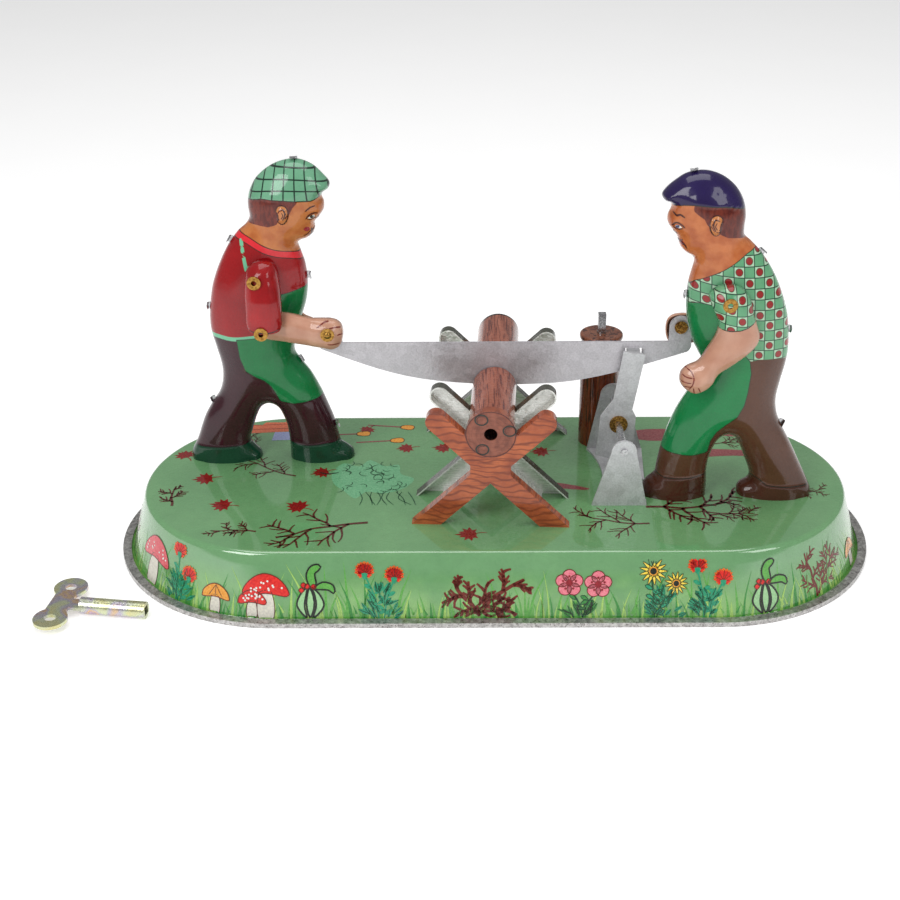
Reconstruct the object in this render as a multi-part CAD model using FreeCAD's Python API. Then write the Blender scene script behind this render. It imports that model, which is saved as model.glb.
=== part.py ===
import FreeCAD, Part
import math
import os

# Clockwork tin toy: two men working a saw over a log on a trestle.
# Millimetres. Origin at the centre of the flat underside, +X along the base, +Z up.
# The man at -X faces +X, the man at +X faces -X, and the saw moves along X between them.

Vec = FreeCAD.Vector
X_AXIS = Vec(1, 0, 0)
Y_AXIS = Vec(0, 1, 0)
Z_AXIS = Vec(0, 0, 1)
TINY = 0.01

# ---- base -------------------------------------------------------------------------------
BASE_LENGTH = 226.0
BASE_WIDTH = 101.8
BASE_TOP = 19.3            # height of the top plate's upper face
TOP_INSET = 8.5            # from the rim's outer edge to the top plate's edge
SHEET = 0.5                # tin sheet
RIM_HEIGHT = 1.5
RIM_FOLD = 2.5             # how far the crimped rim folds inward over the flange
SKIRT_FOOT_INSET = 3.0
TOP_EDGE_RADIUS = 1.8

# ---- planes the toy is built on -----------------------------------------------------------
LEFT_PLANE = 16.0          # seam plane of the man at -X
RIGHT_PLANE = -8.4         # seam plane of the man at +X
SAW_PLANE = 3.8

# ---- saw and its pins ---------------------------------------------------------------------
SAW_THICK = 0.6
PIN_Z = 67.0
LEFT_PIN_X = -47.9
RIGHT_PIN_X = 53.9
PIN_RADIUS = 0.9
SAW_HOLE_RADIUS = 1.5     # loose on the pin: the linkage is opened here
SAW_HOLE_LIFT = 0.27
SAW_END_RADIUS = 3.3
SAW_TOP = 62.5

# ---- rocking lever --------------------------------------------------------------------------
AXLE_X = 37.0
AXLE_Z = 36.9
AXLE_RADIUS = 1.05
FIT = 0.05                 # radial running clearance of a shaft in a hole
LEVER_Y = 1.2              # near face of the lever
LEVER_THICK = 0.8
TAB_Z = 59.3
TAB_X = 40.6
SLOT_X = (33.9, 43.2)      # slot the lever's tail passes through in the base, web and plate
SLOT_Y = (0.2, 3.0)
BRACKET_SHEET = 0.8
BRACKET_FRONT = -16.7
BRACKET_REAR = 18.0

# ---- trestle and log ------------------------------------------------------------------------
TRESTLE_YAW = -3.0
LOG_AXIS_Z = 48.4
LOG_RADIUS = 6.45
DISC_RADIUS = 6.9
LOG_REAR = 44.0
KERF_WIDTH = 1.5
KERF_BOTTOM = 47.0
TRESTLE_SHEET = 0.4
TRESTLE_DEPTH = 3.5
TRESTLE_FRONT = -28.0
TRESTLE_MIDDLE = -8.0      # rear face of the middle frame
TRESTLE_REAR = 33.5        # rear face of the rear frame
BAR_WIDTH = 5.8
FOOT_X = 18.3              # centre of a foot
ARM_TIP_X = 15.2           # centre of an arm's rounded end
ARM_TIP_Z = 51.8
WAIST_SHARE = 0.93         # half width of the crossing over the bar width
WAIST_LOW, WAIST_HIGH = 33.0, 41.0
RIVET_HOLE_RADIUS = 1.85

# ---- winding post -----------------------------------------------------------------------------
STUMP_X = 33.3
STUMP_Y = 25.6
STUMP_RADIUS = 6.0
STUMP_TOP = 56.0
STUMP_CAP_RADIUS = 6.6
STUMP_CAP_THICK = 1.8
ARBOR_RADIUS = 1.4
ARBOR_SQUARE = 2.3
ARBOR_TOP = 62.3

# ---- men --------------------------------------------------------------------------------------
WALL = 0.5
# Slices through the upper body of each man: height, back edge, front edge, half thickness.
LEFT_BODY = [
    (113.2, -60.5, -52.5, 2.2), (111.0, -64.3, -50.5, 5.0), (107.5, -68.2, -47.6, 6.8),
    (103.0, -70.2, -49.0, 7.4), (98.5, -70.2, -48.8, 7.4), (94.6, -71.4, -51.8, 6.8),
    (91.5, -74.6, -53.0, 6.2), (88.0, -77.2, -56.6, 6.6), (82.5, -80.2, -54.9, 7.6),
    (76.0, -82.6, -54.5, 8.0), (69.0, -83.9, -55.8, 8.0), (62.0, -84.0, -58.2, 8.0),
    (56.0, -83.0, -59.8, 7.8), (50.0, -81.8, -56.5, 7.4), (44.0, -82.4, -53.0, 7.0),
    (39.0, -85.0, -51.2, 6.8),
]
RIGHT_BODY = [
    (116.2, 59.9, 50.8, 2.8), (114.2, 62.2, 47.8, 5.0), (110.5, 65.6, 44.7, 6.8),
    (106.5, 67.0, 46.9, 7.4), (101.5, 67.2, 47.0, 7.4), (97.3, 69.3, 49.6, 6.8),
    (94.0, 72.6, 52.4, 6.4), (91.0, 74.8, 54.1, 6.6), (85.0, 78.1, 53.1, 7.6),
    (78.5, 80.7, 52.9, 8.0), (71.5, 82.1, 54.3, 8.0), (64.5, 82.3, 57.3, 8.0),
    (59.5, 81.7, 59.1, 7.8), (55.0, 81.1, 57.0, 7.6), (50.0, 80.4, 53.9, 7.2),
    (45.0, 81.4, 51.5, 7.0), (41.0, 83.2, 50.2, 6.8),
]
# Slices through each leg, from inside the hip down to the ankle.
LEFT_LEGS = [
    [(42.0, -83.2, -68.0, 6.5), (37.0, -86.2, -70.0, 6.3), (33.0, -88.4, -72.5, 6.0),
     (28.0, -90.4, -74.0, 5.6), (23.8, -91.9, -75.2, 5.2)],
    [(42.0, -67.8, -52.2, 6.5), (37.0, -66.0, -50.4, 6.3), (33.0, -64.2, -49.2, 6.0),
     (28.0, -63.1, -47.9, 5.7), (23.8, -62.8, -47.3, 5.3)],
]
RIGHT_LEGS = [
    [(44.0, 82.2, 67.5, 6.5), (38.0, 84.7, 69.8, 6.3), (33.5, 87.1, 72.2, 6.0),
     (28.5, 89.7, 74.0, 5.6), (24.5, 91.5, 75.3, 5.2)],
    [(44.0, 66.0, 51.2, 6.5), (38.0, 64.9, 49.2, 6.3), (34.0, 63.4, 48.4, 6.0),
     (29.0, 62.4, 47.5, 5.7), (24.5, 62.4, 47.2, 5.4)],
]
# Slices through each shoe: height, heel, toe, half thickness.
LEFT_SHOES = [
    [(24.4, -92.0, -75.0, 5.0), (22.2, -93.2, -72.6, 5.5), (20.6, -93.5, -71.6, 5.6),
     (BASE_TOP, -93.2, -71.8, 5.4)],
    [(24.4, -62.8, -47.0, 5.2), (22.3, -63.1, -44.4, 5.6), (20.6, -63.1, -42.9, 5.7),
     (BASE_TOP, -62.8, -43.1, 5.5)],
]
RIGHT_SHOES = [
    [(25.2, 91.6, 75.2, 5.0), (22.8, 92.7, 73.0, 5.5), (20.8, 93.2, 71.7, 5.6),
     (BASE_TOP, 93.0, 71.9, 5.4)],
    [(25.6, 62.5, 47.0, 5.2), (23.4, 62.7, 44.6, 5.6), (21.0, 62.7, 43.5, 5.7),
     (BASE_TOP, 62.4, 44.0, 5.5)],
]
LEFT_SHOULDER = (-68.3, 81.9)
LEFT_ELBOW = (-67.1, 66.7)
RIGHT_SHOULDER = (72.9, 82.2)
RIGHT_ELBOW = (73.1, 66.8)
HANG_SHOULDER_LEFT = (-64.1, 80.9)
HANG_SHOULDER_RIGHT = (62.7, 83.7)
EYELET_RADIUS = 1.2
EYELET_BORE = 0.75
EYELET_FLANGE = 2.0
FLANGE_THICK = 0.35
CUT_NEAR, CUT_FAR = 5.0, 20.0   # how far a hole's cutter reaches from the seam plane
FULLNESS = 0.8             # 1 gives half-elliptical sections, less gives squarer shoulders
CURVE_STEPS = 8
SHOULDER_TAIL_W = 5.2      # inner end of a shoulder eyelet
ELBOW_TAIL_W = 9.7         # inner end of an elbow eyelet
HANG_W = 13.35             # outer face of the hanging sleeve at the shoulder
SLEEVE_W = 14.55           # outer face of the working sleeve at the shoulder
ELBOW_W = 15.95            # outer face of the working sleeve at the elbow
FIST_W = 17.2              # outer face of the working fist
PIN_TAIL_W = 11.2          # inner end of the hand rivet

# ---- key ----------------------------------------------------------------------------------------
KEY_TUBE_RADIUS = 2.4
KEY_TUBE_LENGTH = 19.0
KEY_SQUARE = 2.6
KEY_SOCKET_DEPTH = 12.0
KEY_WING_CENTRE = 25.1     # from the tube's open end
KEY_LOBE_SPACING = 15.7
KEY_LOBE_RADIUS = 4.8
KEY_WING_THICK = 1.0
KEY_WING_WAIST = 3.0       # half width of the bar between the lobes
KEY_NECK = 2.2             # half width of the wing's neck in the tube
KEY_SLOT = 3.5             # depth of the slot in the tube for the neck
KEY_HOLE_RADIUS = 1.5
KEY_HOLE_STRETCH = 0.25
KEY_END = (-98.2, -45.2)
KEY_ANGLE = 172.0

# ---- clockwork motor ------------------------------------------------------------------------------
MOTOR_LOW = 3.2
MOTOR_PLATE = 0.8
MOTOR_HIGH = BASE_TOP - SHEET - MOTOR_PLATE
MOTOR_X = (17.0, 58.0)
MOTOR_Y = (-11.0, 40.5)
PILLAR_INSET = 2.2
PILLAR_RADIUS = 1.4
SHAFT_RADIUS = 0.8
CRANK_RADIUS = 3.0
CRANK_X = 38.6
CRANK_Y = 1.6
GREAT_TEETH, GREAT_MODULE = 30, 0.9
SECOND_PINION_TEETH = 10
SECOND_TEETH, SECOND_MODULE = 28, 0.8
CRANK_PINION_TEETH = 10
CRANK_TEETH, CRANK_MODULE = 30, 0.7
GOVERNOR_PINION_TEETH = 9
GOVERNOR_ANGLE = -25.0
SPRING_LOW, SPRING_HEIGHT = 4.3, 2.8
SPRING_TURNS = 5
SPRING_RADII = (2.6, 11.6)
SPRING_HALF_STRIP = 0.2
FOOT_X_RANGE = (36.0, 39.0)  # the lever's foot, which the crank pin works under
FOOT_Z_RANGE = (15.0, 15.8)
PIN_TRACK_X = 37.5

nodes = {}


def add(name, *solids):
    """Keeps one or more solids as a named piece of the toy."""
    nodes[name] = solids[0] if len(solids) == 1 else Part.makeCompound(list(solids))


# ---- general shapes -------------------------------------------------------------------------------
def fuse(shapes):
    result = shapes[0]
    for shape in shapes[1:]:
        result = result.fuse(shape)
    return result.removeSplitter()


def cylinder_z(x, y, z0, z1, radius):
    return Part.makeCylinder(radius, z1 - z0, Vec(x, y, z0), Z_AXIS)


def cylinder_y(x, z, y0, y1, radius):
    return Part.makeCylinder(radius, y1 - y0, Vec(x, y0, z), Y_AXIS)


def box(x0, x1, y0, y1, z0, z1):
    return Part.makeBox(x1 - x0, y1 - y0, z1 - z0, Vec(x0, y0, z0))


def slab(points, y, thickness):
    """A flat plate standing in the XZ plane, from its outline points."""
    corners = [Vec(x, y, z) for x, z in points]
    return Part.Face(Part.makePolygon(corners + corners[:1])).extrude(Vec(0, thickness, 0))


def stadium(radius, z):
    """A horizontal face with straight sides and round ends, of the base's straight length."""
    half = (BASE_LENGTH - BASE_WIDTH) / 2
    right = Part.Arc(Vec(half, -radius, z), Vec(half + radius, 0, z), Vec(half, radius, z))
    left = Part.Arc(Vec(-half, radius, z), Vec(-half - radius, 0, z), Vec(-half, -radius, z))
    back = Part.LineSegment(Vec(half, radius, z), Vec(-half, radius, z))
    front = Part.LineSegment(Vec(-half, -radius, z), Vec(half, -radius, z))
    return Part.Face(Part.Wire([edge.toShape() for edge in (right, back, left, front)]))


def stadium_slab(radius, z0, z1):
    return stadium(radius, z0).extrude(Vec(0, 0, z1 - z0))


# ---- base -----------------------------------------------------------------------------------------
def tray_solid(shrink, z0):
    """The raised body of the base as a solid, made smaller all round by shrink."""
    foot = BASE_WIDTH / 2 - SKIRT_FOOT_INSET - shrink
    top = BASE_WIDTH / 2 - TOP_INSET - shrink
    height = BASE_TOP - shrink
    solid = Part.makeLoft([stadium(foot, z0).OuterWire, stadium(top, height).OuterWire], True, True)
    top_edges = [e for e in solid.Edges if e.BoundBox.ZMin > height - TINY]
    return solid.makeFillet(TOP_EDGE_RADIUS - shrink / 2, top_edges)


def make_base():
    outer_radius = BASE_WIDTH / 2
    foot = outer_radius - SKIRT_FOOT_INSET
    shell = tray_solid(0, SHEET).cut(tray_solid(SHEET, SHEET))
    flange = stadium_slab(outer_radius - SHEET - 0.05, SHEET, 2 * SHEET)
    flange = flange.cut(stadium_slab(foot - SHEET, 0, RIM_HEIGHT))
    shell = fuse([shell, flange])
    lever_slot = box(*SLOT_X, *SLOT_Y, BASE_TOP - 2, BASE_TOP + 1)
    arbor_hole = cylinder_z(STUMP_X, STUMP_Y, BASE_TOP - 2, BASE_TOP + 1, ARBOR_RADIUS + 0.5)
    add("base_shell", shell.cut(lever_slot).cut(arbor_hole))

    plate = stadium_slab(outer_radius, 0, RIM_HEIGHT)
    plate = plate.cut(stadium_slab(outer_radius - SHEET, SHEET, 2 * SHEET))
    plate = plate.cut(stadium_slab(outer_radius - RIM_FOLD, SHEET, RIM_HEIGHT))
    add("bottom_plate", plate)


# ---- trestle and log --------------------------------------------------------------------------------
def trestle_outline(width, disc_radius, y0, y1):
    """Two crossed bars with rounded upper ends, and a web or disc where they meet."""
    pieces = []
    for side in (-1, 1):
        foot = Vec(side * FOOT_X, y0, BASE_TOP)
        tip = Vec(-side * ARM_TIP_X, y0, ARM_TIP_Z)
        along = (tip - foot).normalize()
        across = along.cross(Y_AXIS) * (width / 2)
        low = foot - along * width
        corners = [low + across, low - across, tip - across, tip + across]
        bar = Part.Face(Part.makePolygon(corners + corners[:1])).extrude(Vec(0, y1 - y0, 0))
        pieces.append(bar)
        pieces.append(cylinder_y(tip.x, tip.z, y0, y1, width / 2))
    if disc_radius:
        pieces.append(cylinder_y(0, LOG_AXIS_Z, y0, y1, disc_radius))
        neck = disc_radius - 1.2
        pieces.append(box(-neck, neck, y0, y1, WAIST_LOW, LOG_AXIS_Z - 3))
    else:
        waist = width * WAIST_SHARE
        pieces.append(box(-waist, waist, y0, y1, WAIST_LOW, WAIST_HIGH))
    below = box(-60, 60, y0 - 1, y1 + 1, 0, BASE_TOP)
    return fuse(pieces).cut(below)


def trestle_frame(face_y, towards, disc_radius):
    """A pressed frame: a flat face with a turned edge of TRESTLE_DEPTH on the side towards."""
    far = face_y + towards * TRESTLE_DEPTH
    inner = face_y + towards * TRESTLE_SHEET
    y0, y1 = min(face_y, far), max(face_y, far)
    outer = trestle_outline(BAR_WIDTH, disc_radius, y0, y1)
    i0, i1 = min(inner, far + towards), max(inner, far + towards)
    small_disc = disc_radius - TRESTLE_SHEET if disc_radius else 0
    hollow = trestle_outline(BAR_WIDTH - 2 * TRESTLE_SHEET, small_disc, i0, i1)
    return outer.cut(hollow)


def turned(shape):
    shape = shape.copy()
    shape.rotate(Vec(0, 0, 0), Z_AXIS, TRESTLE_YAW)
    return shape


def make_trestle():
    front = trestle_frame(TRESTLE_FRONT, 1, DISC_RADIUS)
    front = front.cut(cylinder_y(0, LOG_AXIS_Z, TRESTLE_FRONT - 1, TRESTLE_FRONT + 1, RIVET_HOLE_RADIUS))
    log_space = cylinder_y(0, LOG_AXIS_Z, TRESTLE_FRONT + TRESTLE_SHEET, LOG_REAR + 2, LOG_RADIUS)
    add("trestle_front", turned(front.cut(log_space)))
    add("trestle_middle", turned(trestle_frame(TRESTLE_MIDDLE, -1, 0).cut(log_space)))
    add("trestle_rear", turned(trestle_frame(TRESTLE_REAR, -1, 0).cut(log_space)))

    start = TRESTLE_FRONT + TRESTLE_SHEET
    log = cylinder_y(0, LOG_AXIS_Z, start, LOG_REAR, LOG_RADIUS)
    log = turned(log.cut(cylinder_y(0, LOG_AXIS_Z, start - 1, LOG_REAR + 1, LOG_RADIUS - SHEET)))
    kerf = box(-20, 20, SAW_PLANE - KERF_WIDTH / 2, SAW_PLANE + KERF_WIDTH / 2, KERF_BOTTOM, 70)
    add("log_shell", log.cut(kerf))
    cap = cylinder_y(0, LOG_AXIS_Z, LOG_REAR - 1.6, LOG_REAR - 1.2, LOG_RADIUS - SHEET)
    ring = cylinder_y(0, LOG_AXIS_Z, LOG_REAR - 1.6, LOG_REAR, LOG_RADIUS - SHEET)
    ring = ring.cut(cylinder_y(0, LOG_AXIS_Z, LOG_REAR - 2, LOG_REAR + 1, LOG_RADIUS - 2 * SHEET))
    add("log_end_cap", turned(fuse([cap, ring])))


# ---- winding post -------------------------------------------------------------------------------------
def make_stump():
    cap_low = STUMP_TOP - STUMP_CAP_THICK
    tube = cylinder_z(STUMP_X, STUMP_Y, BASE_TOP, cap_low, STUMP_RADIUS)
    add("stump_tube", tube.cut(cylinder_z(STUMP_X, STUMP_Y, 0, 70, STUMP_RADIUS - SHEET)))
    cap = cylinder_z(STUMP_X, STUMP_Y, cap_low, STUMP_TOP, STUMP_CAP_RADIUS)
    rims = [e for e in cap.Edges if len(e.Vertexes) == 1]
    cap = cap.makeFillet(0.7, rims)
    add("stump_cap", cap.cut(cylinder_z(STUMP_X, STUMP_Y, 0, 70, ARBOR_RADIUS + FIT)))


# ---- men ----------------------------------------------------------------------------------------------
def d_wire(station, low, high, seat, depth):
    """A D-shaped section: flat on the plane w = seat, bulging by depth towards +w."""
    centre, half = (low + high) / 2, abs(high - low) / 2
    points = []
    for step in range(CURVE_STEPS + 1):
        angle = math.pi * step / CURVE_STEPS
        cosine, sine = math.cos(angle), max(math.sin(angle), 0.0)
        across = math.copysign(abs(cosine) ** FULLNESS, cosine) * half
        if step in (0, CURVE_STEPS):
            sine = 0.0
        points.append(Vec(centre + across, seat + depth * sine ** FULLNESS, station))
    curve = Part.BSplineCurve()
    curve.interpolate(points)
    return Part.Wire([curve.toShape(), Part.LineSegment(points[-1], points[0]).toShape()])


def d_loft(sections):
    """A solid through D-shaped sections given as (station, low, high, seat, depth)."""
    return Part.makeLoft([d_wire(*section) for section in sections], True, True)


def thinned(sections, open_start, open_end):
    """The same sections moved in by WALL, for hollowing; open ends run past the outside."""
    result = []
    for station, low, high, seat, depth in sections:
        sign = 1 if high > low else -1
        result.append([station, low + sign * WALL, high - sign * WALL, seat - TINY, depth - WALL])
    step = 1 if result[-1][0] > result[0][0] else -1
    end_wall = 2 * WALL
    result[0][0] += -step if open_start else step * end_wall
    result[-1][0] += step if open_end else -step * end_wall
    return result


def hollow(part_sections):
    """Fuses lofts into one pressed half shell, open on its flat side."""
    outer = fuse([d_loft(s) for s, _, _ in part_sections])
    inner = fuse([d_loft(thinned(s, a, b)) for s, a, b in part_sections])
    return outer.cut(inner)


def to_body(shape, plane, side):
    """Puts a shape built with (x, w, z) coordinates on a man's seam plane."""
    placed = shape.copy() if side > 0 else shape.mirror(Vec(0, 0, 0), Y_AXIS)
    placed.translate(Vec(0, plane, 0))
    return placed


def to_limb(shape, start, end, flip):
    """Lays a shape whose stations run along +Z from start towards end, in the XZ plane."""
    along = Vec(end[0] - start[0], 0, end[1] - start[1]).normalize()
    across = Vec(along.z, 0, -along.x)
    if flip:
        across = across * -1
    matrix = FreeCAD.Matrix(across.x, 0, along.x, start[0], 0, 1, 0, 0, across.z, 0, along.z, start[1],
                            0, 0, 0, 1)
    return shape.transformGeometry(matrix)


def body_half(body, legs, shoes):
    """One half of a man, bulging towards +w from the seam plane w = 0."""
    def flat(slices):
        return [(z, low, high, 0.0, depth) for z, low, high, depth in slices]
    parts = [(flat(body), False, False)]
    parts += [(flat(leg), False, True) for leg in legs]
    parts += [(flat(shoe), True, True) for shoe in shoes]
    return hollow(parts)


def eyelet(x, z, w0, w1, head):
    """A brass eyelet from w0 to w1 along the seam normal, with a rolled flange at each end."""
    barrel = cylinder_y(x, z, w0, w1, EYELET_RADIUS)
    inner = cylinder_y(x, z, w0, w0 + FLANGE_THICK, EYELET_FLANGE - 0.2)
    outer = cylinder_y(x, z, w1 - FLANGE_THICK, w1, head)
    bore = cylinder_y(x, z, w0 - 1, w1 + 1, EYELET_BORE)
    return fuse([barrel, inner, outer]).cut(bore)


# Slices along each limb from its pivot: station, forward edge, rear edge, seat, depth.
SLEEVE_SECTIONS = [
    (-5.4, -5.0, -0.8, 8.4, 2.4), (-3.8, -6.0, 2.0, 8.4, 4.3), (0.0, -6.5, 3.3, 8.4, 5.6),
    (6.0, -7.0, 3.5, 11.2, 4.1), (11.0, -6.9, 3.5, 12.9, 2.9), (16.2, -6.2, 3.6, 13.3, 2.5),
]
FOREARM_SECTIONS = [
    (-4.2, -1.0, 1.8, 8.5, 1.4), (-3.0, -2.3, 3.0, 8.5, 2.2), (0.0, -3.6, 4.1, 8.5, 2.6),
    (5.0, -4.5, 4.6, 8.9, 2.6), (10.0, -4.5, 4.7, 10.8, 3.2), (14.5, -4.2, 4.7, 12.7, 3.4),
    (17.5, -4.0, 5.0, 12.8, 4.0), (20.2, -4.0, 5.3, 12.8, 4.4), (22.6, -3.0, 4.2, 12.8, 3.7),
    (24.2, -1.0, 1.8, 12.8, 2.0),
]
HANG_SLEEVE = [
    (-5.6, -2.6, 2.6, 8.4, 2.4), (-4.0, -4.6, 4.6, 8.4, 4.0), (0.0, -5.8, 5.8, 8.4, 4.8),
    (6.0, -5.6, 5.6, 8.4, 5.0), (13.0, -4.8, 4.8, 8.4, 4.6), (17.5, -2.6, 2.6, 8.4, 3.0),
]
HANG_FOREARM = [
    (-4.5, -2.4, 2.6, 8.4, 2.4), (-2.0, -4.2, 4.6, 8.4, 4.2), (4.0, -4.4, 4.6, 8.4, 4.6),
    (12.0, -3.6, 3.9, 8.4, 4.4), (16.0, -4.2, 4.4, 8.4, 4.8), (20.0, -5.0, 5.0, 8.4, 5.0),
    (23.5, -4.2, 4.2, 8.4, 4.2), (25.4, -2.0, 2.0, 8.4, 2.4),
]


def working_arm(prefix, plane, side, shoulder, elbow, pin):
    """Sleeve, forearm and their eyelets for the arm that holds the saw."""
    flip = pin[0] < elbow[0]
    upper = to_limb(hollow([(SLEEVE_SECTIONS, False, True)]), shoulder, elbow, flip)
    fore = to_limb(hollow([(FOREARM_SECTIONS, False, False)]), elbow, pin, flip)
    shoulder_hole = cylinder_y(shoulder[0], shoulder[1], CUT_NEAR, CUT_FAR, EYELET_RADIUS)
    elbow_fixed = cylinder_y(elbow[0], elbow[1], CUT_NEAR, CUT_FAR, EYELET_RADIUS)
    elbow_loose = cylinder_y(elbow[0], elbow[1], CUT_NEAR, CUT_FAR, EYELET_RADIUS + FIT)
    pin_hole = cylinder_y(pin[0], pin[1], CUT_NEAR, CUT_FAR, PIN_RADIUS)
    upper = upper.cut(shoulder_hole).cut(elbow_fixed)
    fore = fore.cut(elbow_loose).cut(pin_hole)
    shoulder_eyelet = eyelet(shoulder[0], shoulder[1], SHOULDER_TAIL_W, SLEEVE_W + FLANGE_THICK, EYELET_FLANGE)
    elbow_eyelet = eyelet(elbow[0], elbow[1], ELBOW_TAIL_W, ELBOW_W + FLANGE_THICK, EYELET_FLANGE)
    shaft = cylinder_y(pin[0], pin[1], PIN_TAIL_W, FIST_W, PIN_RADIUS)
    tail = cylinder_y(pin[0], pin[1], PIN_TAIL_W, PIN_TAIL_W + 0.4, 1.9)
    head = Part.makeSphere(1.3, Vec(pin[0], FIST_W - 0.35, pin[1]))
    head = head.common(box(pin[0] - 3, pin[0] + 3, FIST_W - TINY, FIST_W + 3, pin[1] - 3, pin[1] + 3))
    washer = cylinder_y(pin[0], pin[1], FIST_W - TINY, FIST_W + 0.3, 2.0)
    rivet = fuse([shaft, tail, head, washer])
    for name, shape in (("upper_arm", upper), ("forearm", fore), ("shoulder_eyelet", shoulder_eyelet),
                        ("elbow_eyelet", elbow_eyelet), ("hand_rivet", rivet)):
        add(prefix + "_" + name, to_body(shape, plane, side))


def hanging_arm(prefix, plane, side, shoulder, flip):
    """A one-piece pressed arm that hangs from its shoulder eyelet."""
    facing = -1 if flip else 1
    elbow = (shoulder[0] - facing * 8.6, shoulder[1] - 11.2)
    fist = (shoulder[0] + facing * 7.6, shoulder[1] - 23.9)
    outer, inner = [], []
    for sections, start, end in ((HANG_SLEEVE, shoulder, elbow), (HANG_FOREARM, elbow, fist)):
        outer.append(to_limb(d_loft(sections), start, end, flip))
        inner.append(to_limb(d_loft(thinned(sections, False, False)), start, end, flip))
    arm = fuse(outer).cut(fuse(inner))
    arm = arm.cut(cylinder_y(shoulder[0], shoulder[1], CUT_NEAR, CUT_FAR, EYELET_RADIUS))
    add(prefix + "_hanging_arm", to_body(arm, plane, side))
    pin = eyelet(shoulder[0], shoulder[1], SHOULDER_TAIL_W, HANG_W + FLANGE_THICK, EYELET_FLANGE)
    add(prefix + "_hanging_arm_eyelet", to_body(pin, plane, side))


def make_man(prefix, plane, near_is_working, slices, shoulder, elbow, pin, hang_shoulder):
    body, legs, shoes = slices
    half = body_half(body, legs, shoes)
    working_side = -1 if near_is_working else 1
    hole = {
        working_side: cylinder_y(shoulder[0], shoulder[1], CUT_NEAR, CUT_FAR, EYELET_RADIUS + FIT),
        -working_side: cylinder_y(hang_shoulder[0], hang_shoulder[1], CUT_NEAR, CUT_FAR, EYELET_RADIUS + FIT),
    }
    add(prefix + "_near_shell", to_body(half.cut(hole[-1]), plane, -1))
    add(prefix + "_far_shell", to_body(half.cut(hole[1]), plane, 1))
    working_arm(prefix, plane, working_side, shoulder, elbow, pin)
    flip = pin[0] < elbow[0]
    hanging_arm(prefix, plane, -working_side, hang_shoulder, flip)


def make_men():
    make_man("left_man", LEFT_PLANE, True, (LEFT_BODY, LEFT_LEGS, LEFT_SHOES),
             LEFT_SHOULDER, LEFT_ELBOW, (LEFT_PIN_X, PIN_Z), HANG_SHOULDER_LEFT)
    make_man("right_man", RIGHT_PLANE, False, (RIGHT_BODY, RIGHT_LEGS, RIGHT_SHOES),
             RIGHT_SHOULDER, RIGHT_ELBOW, (RIGHT_PIN_X, PIN_Z), HANG_SHOULDER_RIGHT)


# ---- saw and lever --------------------------------------------------------------------------------------
def make_saw():
    y = SAW_PLANE - SAW_THICK / 2
    belly = Part.BSplineCurve()
    belly.interpolate([Vec(x, y, z) for x, z in (
        (-50.4, 60.6), (-41.0, 56.8), (-27.0, 52.2), (-10.0, 49.6), (5.7, 49.0), (24.0, 50.2),
        (43.6, 55.1), (56.2, 59.2))])
    right_x = RIGHT_PIN_X + SAW_END_RADIUS
    left_x = LEFT_PIN_X - SAW_END_RADIUS
    chain = [
        belly.toShape(),
        Part.Arc(Vec(56.2, y, 59.2), Vec(57.0, y, 60.2), Vec(right_x, y, 62.0)).toShape(),
        Part.LineSegment(Vec(right_x, y, 62.0), Vec(right_x, y, PIN_Z)).toShape(),
        Part.Arc(Vec(right_x, y, PIN_Z), Vec(RIGHT_PIN_X, y, PIN_Z + SAW_END_RADIUS),
                 Vec(RIGHT_PIN_X - SAW_END_RADIUS, y, PIN_Z)).toShape(),
        Part.LineSegment(Vec(RIGHT_PIN_X - SAW_END_RADIUS, y, PIN_Z), Vec(50.6, y, SAW_TOP)).toShape(),
        Part.LineSegment(Vec(50.6, y, SAW_TOP), Vec(-44.0, y, SAW_TOP)).toShape(),
        Part.LineSegment(Vec(-44.0, y, SAW_TOP), Vec(LEFT_PIN_X + SAW_END_RADIUS, y, PIN_Z)).toShape(),
        Part.Arc(Vec(LEFT_PIN_X + SAW_END_RADIUS, y, PIN_Z), Vec(LEFT_PIN_X, y, PIN_Z + SAW_END_RADIUS),
                 Vec(left_x, y, PIN_Z)).toShape(),
        Part.LineSegment(Vec(left_x, y, PIN_Z), Vec(left_x, y, 62.2)).toShape(),
        Part.LineSegment(Vec(left_x, y, 62.2), Vec(-50.4, y, 60.6)).toShape(),
    ]
    saw = Part.Face(Part.Wire(chain)).extrude(Vec(0, SAW_THICK, 0))
    for x in (LEFT_PIN_X, RIGHT_PIN_X):
        saw = saw.cut(cylinder_y(x, PIN_Z + SAW_HOLE_LIFT, y - 1, y + 2, SAW_HOLE_RADIUS))
    tab_slot = box(TAB_X - 2.4, TAB_X + 2.4, y - 1, y + 2, TAB_Z - 1.3, TAB_Z + 1.2)
    add("saw_blade", saw.cut(tab_slot))


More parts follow.
